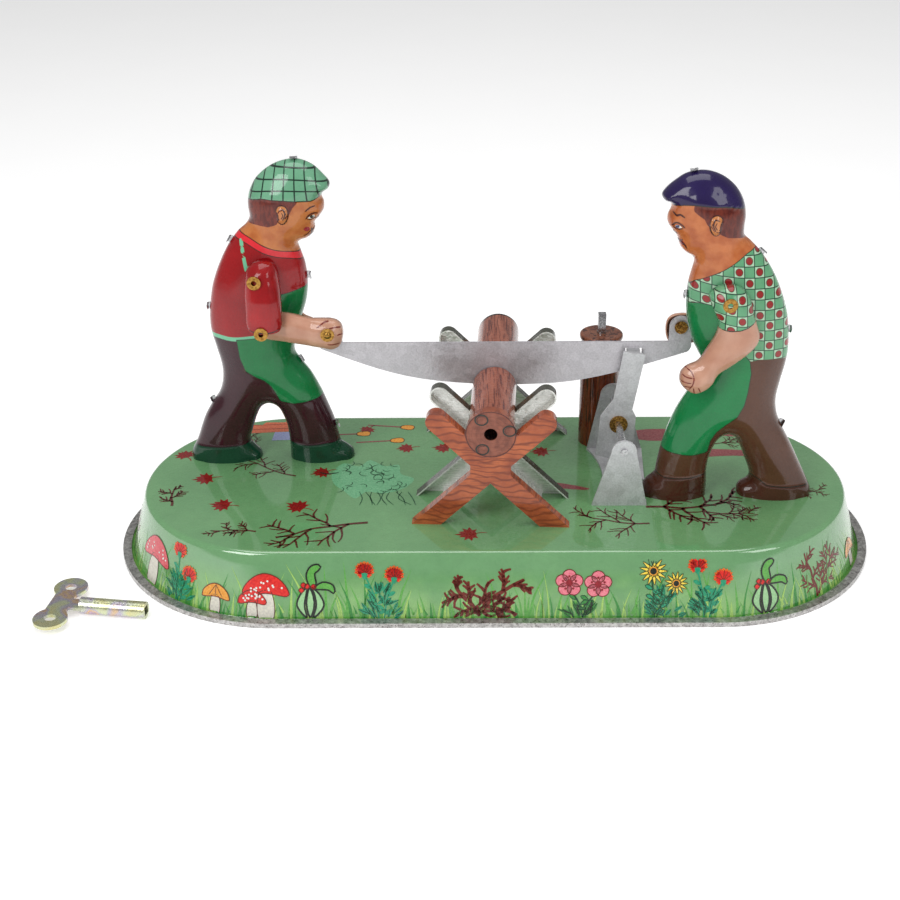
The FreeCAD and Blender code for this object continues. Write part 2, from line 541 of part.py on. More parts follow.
def make_lever():
    foot_left, foot_right = FOOT_X_RANGE
    foot_low = FOOT_Z_RANGE[0]
    strip = slab([(37.5, 60.3), (43.9, 59.3), (40.9, 41.5), (42.1, 39.1), (41.4, 27.0), (foot_right, 25.0),
                  (foot_right, foot_low), (foot_left, foot_low), (foot_left, 25.2), (30.7, 26.5),
                  (31.6, 39.3), (35.2, 44.8)], LEVER_Y, LEVER_THICK)
    hub_hole = cylinder_y(AXLE_X, AXLE_Z, LEVER_Y - 1, LEVER_Y + 2, 1.7)
    tab = box(TAB_X - 1.9, TAB_X + 1.9, LEVER_Y + LEVER_THICK - TINY, SAW_PLANE + 1.6,
              TAB_Z - 0.25, TAB_Z + 0.35)
    foot = box(*FOOT_X_RANGE, -3.4, 6.6, *FOOT_Z_RANGE)
    track = (PIN_TRACK_X - 0.75, PIN_TRACK_X + 0.75)
    for slot in ((-2.6, 0.6), (2.6, 5.8)):
        foot = foot.cut(box(*track, *slot, foot_low - 1, foot_low + 2))
    add("rocker_lever", fuse([strip, tab, foot]).cut(hub_hole))
    hub = fuse([cylinder_y(AXLE_X, AXLE_Z, LEVER_Y - 0.6, LEVER_Y + LEVER_THICK + 0.3, 1.7),
                cylinder_y(AXLE_X, AXLE_Z, LEVER_Y - 0.6, LEVER_Y, 2.7)])
    add("lever_hub", hub.cut(cylinder_y(AXLE_X, AXLE_Z, LEVER_Y - 2, LEVER_Y + 4, AXLE_RADIUS + FIT)))
    axle = cylinder_y(AXLE_X, AXLE_Z, BRACKET_FRONT - 0.5, BRACKET_REAR + BRACKET_SHEET + 0.4, AXLE_RADIUS)
    add("lever_axle", axle)


def upright(y, base_left, base_right, top, radius):
    """A bracket ear: straight sides that run up to a rounded top round the axle."""
    ear = slab([(base_left, BASE_TOP), (base_right, BASE_TOP), (AXLE_X + radius, AXLE_Z + top),
                (AXLE_X - radius, AXLE_Z + top)], y, BRACKET_SHEET)
    return ear.fuse(cylinder_y(AXLE_X, AXLE_Z + top, y, y + BRACKET_SHEET, radius))


def make_bracket():
    front = upright(BRACKET_FRONT, 28.3, 44.3, -0.2, 3.6)
    rear = upright(BRACKET_REAR, 29.4, 46.6, 1.2, 4.0)
    web_left = Part.Arc(Vec(28.4, BRACKET_FRONT, BASE_TOP), Vec(32.9, 1.0, BASE_TOP),
                        Vec(29.5, BRACKET_REAR, BASE_TOP)).toShape()
    web_edges = [
        web_left,
        Part.LineSegment(Vec(29.5, BRACKET_REAR, BASE_TOP), Vec(46.5, BRACKET_REAR, BASE_TOP)).toShape(),
        Part.LineSegment(Vec(46.5, BRACKET_REAR, BASE_TOP), Vec(44.2, BRACKET_FRONT, BASE_TOP)).toShape(),
        Part.LineSegment(Vec(44.2, BRACKET_FRONT, BASE_TOP), Vec(28.4, BRACKET_FRONT, BASE_TOP)).toShape(),
    ]
    web = Part.Face(Part.Wire(web_edges)).extrude(Vec(0, 0, BRACKET_SHEET))
    web = web.cut(box(43.1, 48.0, -14.4, -2.2, BASE_TOP - 1, BASE_TOP + 2))   # clears the man's toe
    bracket = fuse([front, rear, web])
    bracket = bracket.cut(cylinder_y(AXLE_X, AXLE_Z, BRACKET_FRONT - 1, BRACKET_REAR + 2, AXLE_RADIUS))
    add("lever_bracket", bracket.cut(box(*SLOT_X, *SLOT_Y, BASE_TOP - 1, BASE_TOP + 2)))


# ---- clockwork motor ----------------------------------------------------------------------------------
def gear(x, y, z0, z1, teeth, module, phase, bore):
    """A wheel with straight-sided teeth, one tooth pointing along the angle phase (radians)."""
    root = module * teeth / 2 - 1.15 * module
    tip = module * teeth / 2 + 0.85 * module
    pitch = 2 * math.pi / teeth
    points = []
    for tooth in range(teeth):
        middle = phase + tooth * pitch
        for radius, offset in ((root, -0.24), (tip, -0.11), (tip, 0.11), (root, 0.24)):
            angle = middle + offset * pitch
            points.append(Vec(x + radius * math.cos(angle), y + radius * math.sin(angle), z0))
    wheel = Part.Face(Part.makePolygon(points + points[:1])).extrude(Vec(0, 0, z1 - z0))
    return wheel.cut(cylinder_z(x, y, z0 - 1, z1 + 1, bore)) if bore else wheel


def mesh_phase(driver, driven, teeth):
    """The phase that puts a gap of the driven pinion on the line back to the driver."""
    back = math.atan2(driver[1] - driven[1], driver[0] - driven[0])
    return back + math.pi / teeth


def second_arbor_place():
    """Where the second arbor stands, from its two centre distances."""
    great = (STUMP_X, STUMP_Y)
    crank = (CRANK_X, CRANK_Y)
    to_great = GREAT_MODULE * (GREAT_TEETH + SECOND_PINION_TEETH) / 2
    to_crank = SECOND_MODULE * (SECOND_TEETH + CRANK_PINION_TEETH) / 2
    dx, dy = crank[0] - great[0], crank[1] - great[1]
    span = math.hypot(dx, dy)
    along = (to_great ** 2 - to_crank ** 2 + span ** 2) / (2 * span)
    aside = math.sqrt(to_great ** 2 - along ** 2)
    return (great[0] + (along * dx + aside * dy) / span, great[1] + (along * dy - aside * dx) / span)


def make_motor():
    great = (STUMP_X, STUMP_Y)
    crank = (CRANK_X, CRANK_Y)
    second = second_arbor_place()
    reach = CRANK_MODULE * (CRANK_TEETH + GOVERNOR_PINION_TEETH) / 2
    turn = math.radians(GOVERNOR_ANGLE)
    governor = (crank[0] + reach * math.cos(turn), crank[1] + reach * math.sin(turn))
    top = MOTOR_HIGH + MOTOR_PLATE
    shaft_top = top - 0.4

    low_plate = box(*MOTOR_X, *MOTOR_Y, MOTOR_LOW, MOTOR_LOW + MOTOR_PLATE)
    high_plate = box(*MOTOR_X, *MOTOR_Y, MOTOR_HIGH, top)
    high_plate = high_plate.cut(box(*SLOT_X, *SLOT_Y, MOTOR_HIGH - 1, top + 1))
    low_plate = low_plate.cut(cylinder_z(*great, 0, 10, ARBOR_RADIUS + FIT))
    high_plate = high_plate.cut(cylinder_z(*great, 10, 30, ARBOR_RADIUS + FIT))
    for place in (second, governor):
        hole = cylinder_z(*place, 0, 30, SHAFT_RADIUS + FIT)
        low_plate = low_plate.cut(hole)
        high_plate = high_plate.cut(hole)
    pillars = []
    for x in (MOTOR_X[0] + PILLAR_INSET, MOTOR_X[1] - PILLAR_INSET):
        for y in (MOTOR_Y[0] + PILLAR_INSET, MOTOR_Y[1] - PILLAR_INSET):
            pillars.append(cylinder_z(x, y, MOTOR_LOW + MOTOR_PLATE, MOTOR_HIGH, PILLAR_RADIUS))
    add("motor_lower_plate", low_plate)
    add("motor_upper_plate", high_plate)
    add("motor_pillars", *pillars)
    add("crank_stud", cylinder_z(*crank, MOTOR_LOW + MOTOR_PLATE, 13.0, SHAFT_RADIUS))

    # Winding arbor with its square end, and the ratchet wheel pressed on it.
    square = box(great[0] - ARBOR_SQUARE / 2, great[0] + ARBOR_SQUARE / 2,
                 great[1] - ARBOR_SQUARE / 2, great[1] + ARBOR_SQUARE / 2, STUMP_TOP + 0.6, ARBOR_TOP)
    arbor = fuse([cylinder_z(*great, MOTOR_LOW - 1.0, STUMP_TOP + 0.6, ARBOR_RADIUS), square])
    add("winding_arbor", arbor)
    ratchet_points = []
    ratchet_teeth = 12
    for tooth in range(ratchet_teeth):
        for radius, share in ((3.3, 0.05), (4.2, 0.95)):
            angle = 2 * math.pi * (tooth + share) / ratchet_teeth
            ratchet_points.append(Vec(great[0] + radius * math.cos(angle),
                                      great[1] + radius * math.sin(angle), 13.2))
    ratchet = Part.Face(Part.makePolygon(ratchet_points + ratchet_points[:1])).extrude(Vec(0, 0, 1.0))
    add("ratchet_wheel", ratchet.cut(cylinder_z(*great, 12, 16, ARBOR_RADIUS)))

    # Great wheel, free on the winding arbor, with the click that rides on it.
    great_phase = math.atan2(second[1] - great[1], second[0] - great[0])
    wheel = gear(*great, 10.8, 11.8, GREAT_TEETH, GREAT_MODULE, great_phase, ARBOR_RADIUS + FIT)
    click_pivot = (great[0] + 8.0, great[1] + 1.0)
    add("great_wheel", wheel.cut(cylinder_z(*click_pivot, 10, 13, 0.6)))
    add("click_rivet", cylinder_z(*click_pivot, 10.4, 14.6, 0.6))
    click = Part.Face(Part.makePolygon([Vec(great[0] + x, great[1] + y, 13.2) for x, y in (
        (9.6, 0.4), (8.4, 3.0), (5.6, 5.6), (3.4, 3.4), (5.9, 3.2), (6.4, 0.4), (9.6, 0.4))]))
    click = click.extrude(Vec(0, 0, 1.0)).fuse(cylinder_z(*click_pivot, 13.2, 14.2, 1.5))
    add("click", click.cut(cylinder_z(*click_pivot, 12, 16, 0.6 + FIT)))

    # Mainspring: a flat strip wound round the arbor between the lower plate and the great wheel.
    inner, outer = SPRING_RADII
    steps = SPRING_TURNS * 8
    strip_points = []
    for sign in (1, -1):
        order = range(steps + 1) if sign > 0 else range(steps, -1, -1)
        for step in order:
            angle = 2 * math.pi * step / 8
            radius = inner + (outer - inner) * step / steps + sign * SPRING_HALF_STRIP
            strip_points.append(Vec(great[0] + radius * math.cos(angle),
                                    great[1] + radius * math.sin(angle), SPRING_LOW))
    strip = Part.Face(Part.makePolygon(strip_points + strip_points[:1]))
    add("mainspring", strip.extrude(Vec(0, 0, SPRING_HEIGHT)))

    # Second arbor: its pinion takes the great wheel, its wheel drives the crank.
    pinion_phase = mesh_phase(great, second, SECOND_PINION_TEETH)
    second_phase = math.atan2(crank[1] - second[1], crank[0] - second[0])
    add("second_arbor", cylinder_z(*second, MOTOR_LOW - 0.3, shaft_top, SHAFT_RADIUS))
    add("second_pinion", gear(*second, 10.4, 12.4, SECOND_PINION_TEETH, GREAT_MODULE, pinion_phase,
                              SHAFT_RADIUS))
    add("second_wheel", gear(*second, 7.6, 8.4, SECOND_TEETH, SECOND_MODULE, second_phase, SHAFT_RADIUS))

    # Crank: a sleeve on the stud with pinion, wheel, disc and pin.
    crank_phase = mesh_phase(second, crank, CRANK_PINION_TEETH)
    governor_side = math.atan2(governor[1] - crank[1], governor[0] - crank[0])
    add("crank_pinion", gear(*crank, 7.0, 12.2, CRANK_PINION_TEETH, SECOND_MODULE, crank_phase,
                             SHAFT_RADIUS + FIT))
    add("crank_wheel", gear(*crank, 5.2, 6.0, CRANK_TEETH, CRANK_MODULE, governor_side,
                            SHAFT_RADIUS + FIT))
    hub = cylinder_z(*crank, 6.0, 7.0, 2.2).cut(cylinder_z(*crank, 4, 10, SHAFT_RADIUS + FIT))
    disc = cylinder_z(*crank, 12.2, 13.0, CRANK_RADIUS + 1.3)
    disc = disc.cut(cylinder_z(*crank, 12, 14, SHAFT_RADIUS + FIT))
    pin_dx = PIN_TRACK_X - crank[0]
    pin_dy = math.sqrt(CRANK_RADIUS ** 2 - pin_dx ** 2)
    crank_pin = cylinder_z(crank[0] + pin_dx, crank[1] + pin_dy, 13.0, 14.6, 0.6)
    add("crank_hub", hub)
    add("crank_disc", disc)
    add("crank_pin", crank_pin)

    # Governor: a small pinion with a two-lobed weight that slows the run.
    add("governor_arbor", cylinder_z(*governor, MOTOR_LOW - 0.3, shaft_top, SHAFT_RADIUS))
    add("governor_pinion", gear(*governor, 4.8, 6.6, GOVERNOR_PINION_TEETH, CRANK_MODULE,
                                mesh_phase(crank, governor, GOVERNOR_PINION_TEETH), SHAFT_RADIUS))
    lobes = [cylinder_z(governor[0] + s * 2.6, governor[1], 9.0, 11.0, 1.7) for s in (-1, 1)]
    bar = box(governor[0] - 2.6, governor[0] + 2.6, governor[1] - 1.2, governor[1] + 1.2, 9.0, 11.0)
    weight = fuse(lobes + [bar, cylinder_z(*governor, 9.0, 11.0, 1.6)])
    add("governor_weight", weight.cut(cylinder_z(*governor, 8, 12, SHAFT_RADIUS)))


# ---- key ------------------------------------------------------------------------------------------------
def make_key():
    """The loose winding key, lying flat; built along +X from the open end of its tube."""
    axis_z = KEY_TUBE_RADIUS
    tube = Part.makeCylinder(KEY_TUBE_RADIUS, KEY_TUBE_LENGTH, Vec(0, 0, axis_z), X_AXIS)
    half = KEY_SQUARE / 2
    tube = tube.cut(box(-1, KEY_SOCKET_DEPTH, -half, half, axis_z - half, axis_z + half))
    slot_start = KEY_TUBE_LENGTH - KEY_SLOT
    low = axis_z - KEY_WING_THICK / 2
    high = low + KEY_WING_THICK
    tube = tube.cut(box(slot_start, KEY_TUBE_LENGTH + 1, -3, 3, low, high))

    reach = KEY_LOBE_SPACING / 2
    wing = [box(slot_start, KEY_WING_CENTRE, -KEY_NECK, KEY_NECK, low, high),
            box(KEY_WING_CENTRE - KEY_WING_WAIST, KEY_WING_CENTRE + KEY_WING_WAIST, -reach, reach, low, high)]
    for sign in (-1, 1):
        wing.append(cylinder_z(KEY_WING_CENTRE, sign * reach, low, high, KEY_LOBE_RADIUS))
    wing = fuse(wing)
    for sign in (-1, 1):
        for shift in (-KEY_HOLE_STRETCH, KEY_HOLE_STRETCH):
            wing = wing.cut(cylinder_z(KEY_WING_CENTRE + shift, sign * reach, low - 1, high + 1,
                                       KEY_HOLE_RADIUS))
    for name, shape in (("key_tube", tube), ("key_wing", wing)):
        shape.rotate(Vec(0, 0, 0), Z_AXIS, KEY_ANGLE)
        shape.translate(Vec(KEY_END[0], KEY_END[1], 0))
        add(name, shape)


def main():
    make_base()
    make_trestle()
    make_stump()
    make_men()
    make_saw()
    make_lever()
    make_bracket()
    make_motor()
    make_key()
    os.makedirs("parts", exist_ok=True)
    for name, shape in nodes.items():
        if not shape.isValid():
            print("invalid:", name)
        print(name, len(shape.Solids), round(shape.Volume, 2))
        shape.exportStep("parts/" + name + ".step")


main()
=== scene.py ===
import bpy
import math
import random
import numpy as np
from mathutils import Matrix, Vector
from mathutils.bvhtree import BVHTree
from mathutils.geometry import delaunay_2d_cdt


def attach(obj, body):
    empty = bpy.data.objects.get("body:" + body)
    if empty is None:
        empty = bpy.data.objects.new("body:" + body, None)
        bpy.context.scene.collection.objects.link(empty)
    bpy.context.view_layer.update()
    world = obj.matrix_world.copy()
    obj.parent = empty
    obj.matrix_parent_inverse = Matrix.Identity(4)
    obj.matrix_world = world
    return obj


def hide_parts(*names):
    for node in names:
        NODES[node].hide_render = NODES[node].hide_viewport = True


# Looks of a clockwork tin toy: two printed men, saw, trestle, winding post and printed base.
# Shapes are worked out in millimetres in the frame's coordinates and made in metres.

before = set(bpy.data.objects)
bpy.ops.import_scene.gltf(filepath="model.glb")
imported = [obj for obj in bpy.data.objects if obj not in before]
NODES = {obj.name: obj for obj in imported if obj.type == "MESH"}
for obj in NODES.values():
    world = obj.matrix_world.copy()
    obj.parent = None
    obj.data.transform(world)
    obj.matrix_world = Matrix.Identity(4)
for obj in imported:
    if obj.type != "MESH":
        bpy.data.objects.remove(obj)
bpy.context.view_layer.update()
MM = 0.001


def srgb(red, green, blue):
    """A linear colour from 0-255 display values."""
    shares = [value / 255 for value in (red, green, blue)]
    return tuple(s / 12.92 if s < 0.04045 else ((s + 0.055) / 1.055) ** 2.4 for s in shares) + (1.0,)


# The trestle and log lie turned about the vertical, and the log's axis is LOG_Z up.
TRESTLE_TURN = math.radians(-3.0)
LOG_Z = 48.4
CROSSING_Z = 37.05
LEG_ACROSS, LEG_UP = 32.5, 33.5


# ---- materials -------------------------------------------------------------------------------
class Shader:
    """A material's node tree, with short calls for what the looks need."""

    def __init__(self, name, **fixed):
        self.material = bpy.data.materials.new(name)
        self.material.use_nodes = True
        self.tree = self.material.node_tree
        self.bsdf = self.tree.nodes["Principled BSDF"]
        for socket, value in fixed.items():
            self.bsdf.inputs[socket.replace("_", " ")].default_value = value
        self.coordinates = None

    def feed(self, socket, value):
        if isinstance(value, bpy.types.NodeSocket):
            self.tree.links.new(value, socket)
        else:
            socket.default_value = value

    def new(self, kind, settings=None, **inputs):
        node = self.tree.nodes.new("ShaderNode" + kind)
        for key, value in (settings or {}).items():
            setattr(node, key, value)
        for key, value in inputs.items():
            self.feed(node.inputs[key.replace("_", " ")], value)
        return node

    def math(self, operation, a, b=0.0, c=0.0):
        node = self.new("Math", {"operation": operation})
        for socket, value in zip(node.inputs, (a, b, c)):
            self.feed(socket, value)
        return node.outputs[0]

    def mix(self, factor, a, b):
        node = self.new("Mix", {"data_type": "RGBA"})
        for index, value in ((0, factor), (6, a), (7, b)):
            self.feed(node.inputs[index], value)
        return node.outputs[2]

    def place(self):
        """Object coordinates in millimetres, as one vector."""
        if self.coordinates is None:
            texture = self.new("TexCoord")
            scaled = self.new("VectorMath", {"operation": "SCALE"}, Scale=1000.0)
            self.feed(scaled.inputs[0], texture.outputs["Object"])
            self.coordinates = scaled.outputs[0]
        return self.coordinates

    def xyz(self):
        return self.new("SeparateXYZ", Vector=self.place()).outputs

    def stretched(self, x, y, z):
        node = self.new("VectorMath", {"operation": "MULTIPLY"})
        self.feed(node.inputs[0], self.place())
        node.inputs[1].default_value = (x, y, z)
        return node.outputs[0]

    def noise(self, scale, detail=2.0, vector=None, distortion=0.0):
        vector = vector if vector is not None else self.place()
        node = self.new("TexNoise", Vector=vector, Scale=scale, Detail=detail, Distortion=distortion)
        return node.outputs["Fac"]

    def fade(self, value, low, high, start=0.0, end=1.0):
        node = self.new("MapRange", Value=value)
        for index, number in ((1, low), (2, high), (3, start), (4, end)):
            node.inputs[index].default_value = number
        return node.outputs[0]

    def attribute(self, name):
        return self.new("Attribute", {"attribute_name": name}).outputs["Fac"]

    def finish(self, colour, roughness=None, height=None, distance=0.0001):
        self.feed(self.bsdf.inputs["Base Color"], colour)
        if roughness is not None:
            self.feed(self.bsdf.inputs["Roughness"], roughness)
        if height is not None:
            bump = self.new("Bump", Strength=1.0, Distance=distance, Height=height)
            self.feed(self.bsdf.inputs["Normal"], bump.outputs[0])
        return self.material


def tin_print(name):
    """A shader with the clear gloss of lithographed tinplate."""
    return Shader(name, Roughness=0.32, Specular_IOR_Level=0.12, Coat_Weight=0.7, Coat_Roughness=0.07,
                  Coat_IOR=1.5)


def gloss_finish(shader, colour):
    """Adds the faint tone changes, uneven varnish and slight dents of printed tin."""
    tone = shader.fade(shader.noise(0.35, 3.0), 0.3, 0.7, 0.93, 1.0)
    node = shader.new("VectorMath", {"operation": "SCALE"}, Scale=tone)
    shader.feed(node.inputs[0], colour)
    roughness = shader.fade(shader.noise(0.8, 4.0), 0.25, 0.8, 0.22, 0.36)
    height = shader.math("ADD", shader.noise(0.10, 1.0), shader.math("MULTIPLY", shader.noise(1.2), 0.02))
    return shader.finish(node.outputs[0], roughness, height, 0.00012)


def ink(name, rgb, other=None):
    """Printing ink for one colour of a drawn shape, with a slightly uneven film."""
    shader = tin_print("ink_" + name)
    amount = shader.fade(shader.noise(1.6, 3.0), 0.35, 0.65)
    other = other or tuple(min(255, value * 1.25 + 10) for value in rgb)
    return gloss_finish(shader, shader.mix(amount, srgb(*rgb), srgb(*other)))


def bands(shader, value, period, half_width, soft=0.12):
    """1 on lines that repeat every period along value, 0 between them."""
    wave = shader.math("PINGPONG", value, period / 2)
    return shader.fade(wave, half_width - soft, half_width + soft, 1.0, 0.0)


def galvanised(name, tint):
    shader = Shader(name, Metallic=0.45)
    cells = shader.new("TexVoronoi", {"feature": "F1"}, Vector=shader.place(), Scale=0.42)
    spangle = shader.new("SeparateColor", Color=cells.outputs["Color"]).outputs[0]
    fine = shader.noise(2.2, 5.0)
    share = shader.math("ADD", shader.math("MULTIPLY", spangle, 0.22), shader.math("MULTIPLY", fine, 0.78))
    dark = tuple(value * 0.90 for value in tint)
    light = tuple(min(255, value * 1.08) for value in tint)
    colour = shader.mix(shader.fade(share, 0.25, 0.75), srgb(*dark), srgb(*light))
    roughness = shader.fade(share, 0.2, 0.8, 0.3, 0.5)
    return shader.finish(colour, roughness, shader.noise(0.9, 4.0), 0.00012)


def metal(name, dark, light, roughness=(0.18, 0.34), scale=1.5, stretch=(1, 1, 1)):
    shader = Shader(name, Metallic=0.95)
    grain = shader.noise(scale, 4.0, shader.stretched(*stretch))
    colour = shader.mix(shader.fade(grain, 0.3, 0.7), srgb(*dark), srgb(*light))
    return shader.finish(colour, shader.fade(grain, 0.3, 0.7, *roughness), grain, 0.00004)


def bare_tin():
    """The crimped rim: grey tin with dark rubbed specks."""
    shader = Shader("bare_tin", Metallic=0.8)
    grain = shader.noise(0.9, 5.0)
    specks = shader.fade(shader.noise(2.6, 4.0), 0.58, 0.66)
    colour = shader.mix(shader.fade(grain, 0.35, 0.65), srgb(150, 148, 146), srgb(200, 198, 196))
    colour = shader.mix(specks, colour, srgb(92, 84, 82))
    return shader.finish(colour, shader.fade(grain, 0.3, 0.7, 0.25, 0.45), grain, 0.0001)


def yellow_zinc():
    """Passivated zinc, whose colour drifts between gold, violet and pale green."""
    shader = Shader("yellow_zinc", Metallic=0.85)
    drift = shader.noise(0.17, 2.0, None, 0.6)
    ramp = shader.new("ValToRGB")
    stops = ramp.color_ramp.elements
    stops[0].position, stops[0].color = 0.30, srgb(205, 200, 140)
    stops[1].position, stops[1].color = 0.72, srgb(168, 140, 178)
    for position, rgb in ((0.42, (196, 204, 168)), (0.52, (176, 168, 190)), (0.62, (210, 176, 130))):
        stops.new(position).color = srgb(*rgb)
    shader.feed(ramp.inputs[0], drift)
    fine = shader.noise(2.0, 4.0)
    colour = shader.mix(shader.fade(fine, 0.3, 0.7, 0.0, 0.25), ramp.outputs[0], srgb(225, 225, 215))
    return shader.finish(colour, shader.fade(fine, 0.3, 0.7, 0.2, 0.38), fine, 0.00005)


def trestle_tin(name, face_sign):
    """Wood print outside and bare tin inside a pressed frame, the tin painted near white: its own pale grey
    plus a painted reflection of the white surroundings. face_sign is the way its face looks.
    """
    shader = tin_print(name)
    geometry = shader.new("NewGeometry")

    def turned(vector):
        node = shader.new("VectorRotate", {"rotation_type": "Z_AXIS"}, Vector=vector, Angle=-TRESTLE_TURN)
        return shader.new("SeparateXYZ", Vector=node.outputs[0]).outputs

    px, _, pz = turned(shader.place())
    nx, ny, nz = turned(geometry.outputs["True Normal"])
    outward = shader.math("MULTIPLY", ny, 2.0 * face_sign)
    slope = math.hypot(LEG_UP, LEG_ACROSS)
    for side in (-1, 1):
        ax, az = LEG_ACROSS / slope, side * LEG_UP / slope
        level = shader.math("MULTIPLY", shader.math("SUBTRACT", pz, CROSSING_Z), az)
        offset = shader.math("MULTIPLY_ADD", px, ax, level)
        facing = shader.math("MULTIPLY_ADD", nx, ax, shader.math("MULTIPLY", nz, az))
        sharp = shader.math("MULTIPLY", facing, shader.math("ABSOLUTE", facing))
        push = shader.math("MULTIPLY", sharp, shader.math("SIGN", offset))
        outward = shader.math("ADD", outward, push)
    printed = shader.fade(outward, -0.05, 0.05)

    wobble = shader.math("MULTIPLY", shader.noise(0.09, 2.0), 7.0)
    level = shader.math("ADD", pz, wobble)
    streak = shader.math("SINE", shader.math("MULTIPLY", level, 3.3))
    fine = shader.noise(1.0, 4.0, shader.stretched(0.15, 0.15, 1.6))
    colour = shader.mix(shader.fade(shader.noise(0.16, 3.0), 0.35, 0.65), srgb(186, 98, 56),
                        srgb(150, 70, 40))
    colour = shader.mix(shader.fade(streak, 0.35, 1.0, 0.0, 0.75), colour, srgb(112, 48, 28))
    colour = shader.mix(shader.fade(fine, 0.54, 0.66, 0.0, 0.6), colour, srgb(98, 40, 24))
    brown = shader.mix(shader.fade(shader.noise(0.5, 3.0), 0.35, 0.65), srgb(116, 62, 46),
                       srgb(146, 84, 64))
    radius = shader.math("SQRT", shader.math("ADD", shader.math("POWER", px, 2.0),
                         shader.math("POWER", shader.math("SUBTRACT", pz, LOG_Z), 2.0)))
    colour = shader.mix(shader.fade(radius, 6.2, 7.6, 1.0, 0.0), colour, brown)
    rings = shader.fade(shader.math("SINE", shader.math("MULTIPLY", radius, 5.0)), 0.6, 1.0, 0.0, 0.25)
    colour = shader.mix(shader.math("MULTIPLY", rings, shader.fade(radius, 6.0, 6.6, 1.0, 0.0)),
                        colour, srgb(96, 44, 30))
    # Bare tin painted near white: the tin's own pale grey plus a painted reflection of the white
    # surroundings.
    tin = shader.mix(shader.noise(0.7, 3.0), srgb(222, 223, 218), srgb(240, 240, 236))
    if face_sign > 0:
        rim = shader.fade(shader.math("ABSOLUTE", ny), 0.3, 0.6, 1.0, 0.0)
        colour = shader.mix(rim, colour, srgb(64, 66, 54))
    colour = shader.mix(printed, tin, colour)
    shader.feed(shader.bsdf.inputs["Metallic"], shader.fade(printed, 0.0, 1.0, 0.35, 0.0))
    return shader.finish(colour, shader.fade(fine, 0.3, 0.7, 0.18, 0.34), shader.noise(0.5, 2.0), 0.0003)


def grain_tin(name, dark, middle, light, stretch, scale=0.9, dark_end=None):
    """Printed bark or timber with long streaks, and a dark band past dark_end along y if there is one."""
    shader = tin_print(name)
    vector = shader.stretched(*stretch)
    broad = shader.noise(scale * 0.5, 3.0, vector, 0.4)
    fine = shader.noise(scale * 1.8, 4.0, vector, 0.8)
    colour = shader.mix(shader.fade(broad, 0.36, 0.64), srgb(*middle), srgb(*light))
    colour = shader.mix(shader.fade(fine, 0.50, 0.60), colour, srgb(*dark))
    if dark_end:
        edge = shader.fade(shader.xyz()[1], dark_end - 0.1, dark_end + 0.1)
        colour = shader.mix(edge, colour, srgb(44, 26, 20))
    return gloss_finish(shader, colour)


def base_print():
    """The base's ground: plain green on top, and deeper and yellower towards the skirt's foot."""
    shader = tin_print("base_ground")
    shader.bsdf.inputs["Coat Weight"].default_value = 1.0
    shader.bsdf.inputs["Coat IOR"].default_value = 1.85
    shader.bsdf.inputs["Coat Roughness"].default_value = 0.03
    z = shader.xyz()[2]
    mottle = shader.fade(shader.noise(0.05, 3.0), 0.35, 0.65)
    top = shader.mix(mottle, srgb(104, 156, 104), srgb(112, 163, 110))
    foot = shader.mix(shader.fade(shader.noise(0.09, 3.0), 0.4, 0.6), srgb(84, 150, 70), srgb(122, 178, 84))
    colour = shader.mix(shader.fade(z, 3.0, 15.0, 1.0, 0.0), top, foot)
    return gloss_finish(shader, colour)


LINE = srgb(30, 34, 26)
ARM_SKIN = srgb(204, 156, 132), srgb(188, 136, 112)


def man_print(name, palette, shirt, cap):
    """Every printed region of a man, taken from the signed distances stored on his mesh."""
    shader = tin_print(name)
    x, _, z = shader.xyz()
    tone = shader.fade(shader.noise(0.12, 3.0), 0.3, 0.7, 0.15, 0.6)

    def region(colour, key, paint, line=0.0, soft=0.07):
        distance = shader.attribute(key)
        colour = shader.mix(shader.fade(distance, -soft, soft), colour, paint)
        if line:
            edge = shader.fade(shader.math("ABSOLUTE", distance), line - soft, line + soft, 1.0, 0.0)
            colour = shader.mix(edge, colour, LINE)
        return colour

    def toned(key):
        return shader.mix(tone, srgb(*palette[key][0]), srgb(*palette[key][1]))

    colour = shirt(shader, x, z, toned("shirt"))
    colour = region(colour, "pants", toned("pants"), 0.0)
    colour = region(colour, "shoes", toned("shoes"), 0.13)
    skin = shader.mix(shader.fade(shader.noise(0.22, 2.0), 0.4, 0.62), srgb(*palette["skin"][0]),
                      srgb(*palette["skin"][1]))
    colour = region(colour, "skin", skin, 0.10)
    hair_streak = shader.noise(1.1, 3.0, shader.stretched(1.0, 0.3, 0.35), 0.6)
    hair = shader.mix(shader.fade(hair_streak, 0.4, 0.6), srgb(*palette["hair"][0]),
                      srgb(*palette["hair"][1]))
    colour = region(colour, "hair", hair)
    colour = region(colour, "cap", cap(shader, x, z, toned("cap")), 0.14)
    if "collar" in palette:
        colour = region(colour, "collar", toned("collar"), 0.12)
    if "strap" in palette:
        colour = region(colour, "strap", toned("strap"), 0.0)
    colour = region(colour, "apron", toned("apron"), 0.10)
    return gloss_finish(shader, colour)


def plain(shader, x, z, colour):
    return colour


def plaid_cap(shader, x, z, colour):
    """Black lines that lean and bow with the cap."""
    bow = shader.math("MULTIPLY", shader.math("POWER", shader.math("ADD", x, 59.0), 2.0), -0.012)
    row = shader.math("SUBTRACT", shader.math("ADD", z, 0.9), bow)
    lean = shader.math("MULTIPLY", shader.math("SUBTRACT", z, 103.0), shader.math(
        "MULTIPLY", shader.math("ADD", x, 57.0), 0.022))
    column = shader.math("ADD", x, lean)
    lines = shader.math("MAXIMUM", bands(shader, row, 2.9, 0.19, 0.07),
                        bands(shader, column, 3.3, 0.21, 0.07))
    return shader.mix(lines, colour, srgb(26, 44, 36))


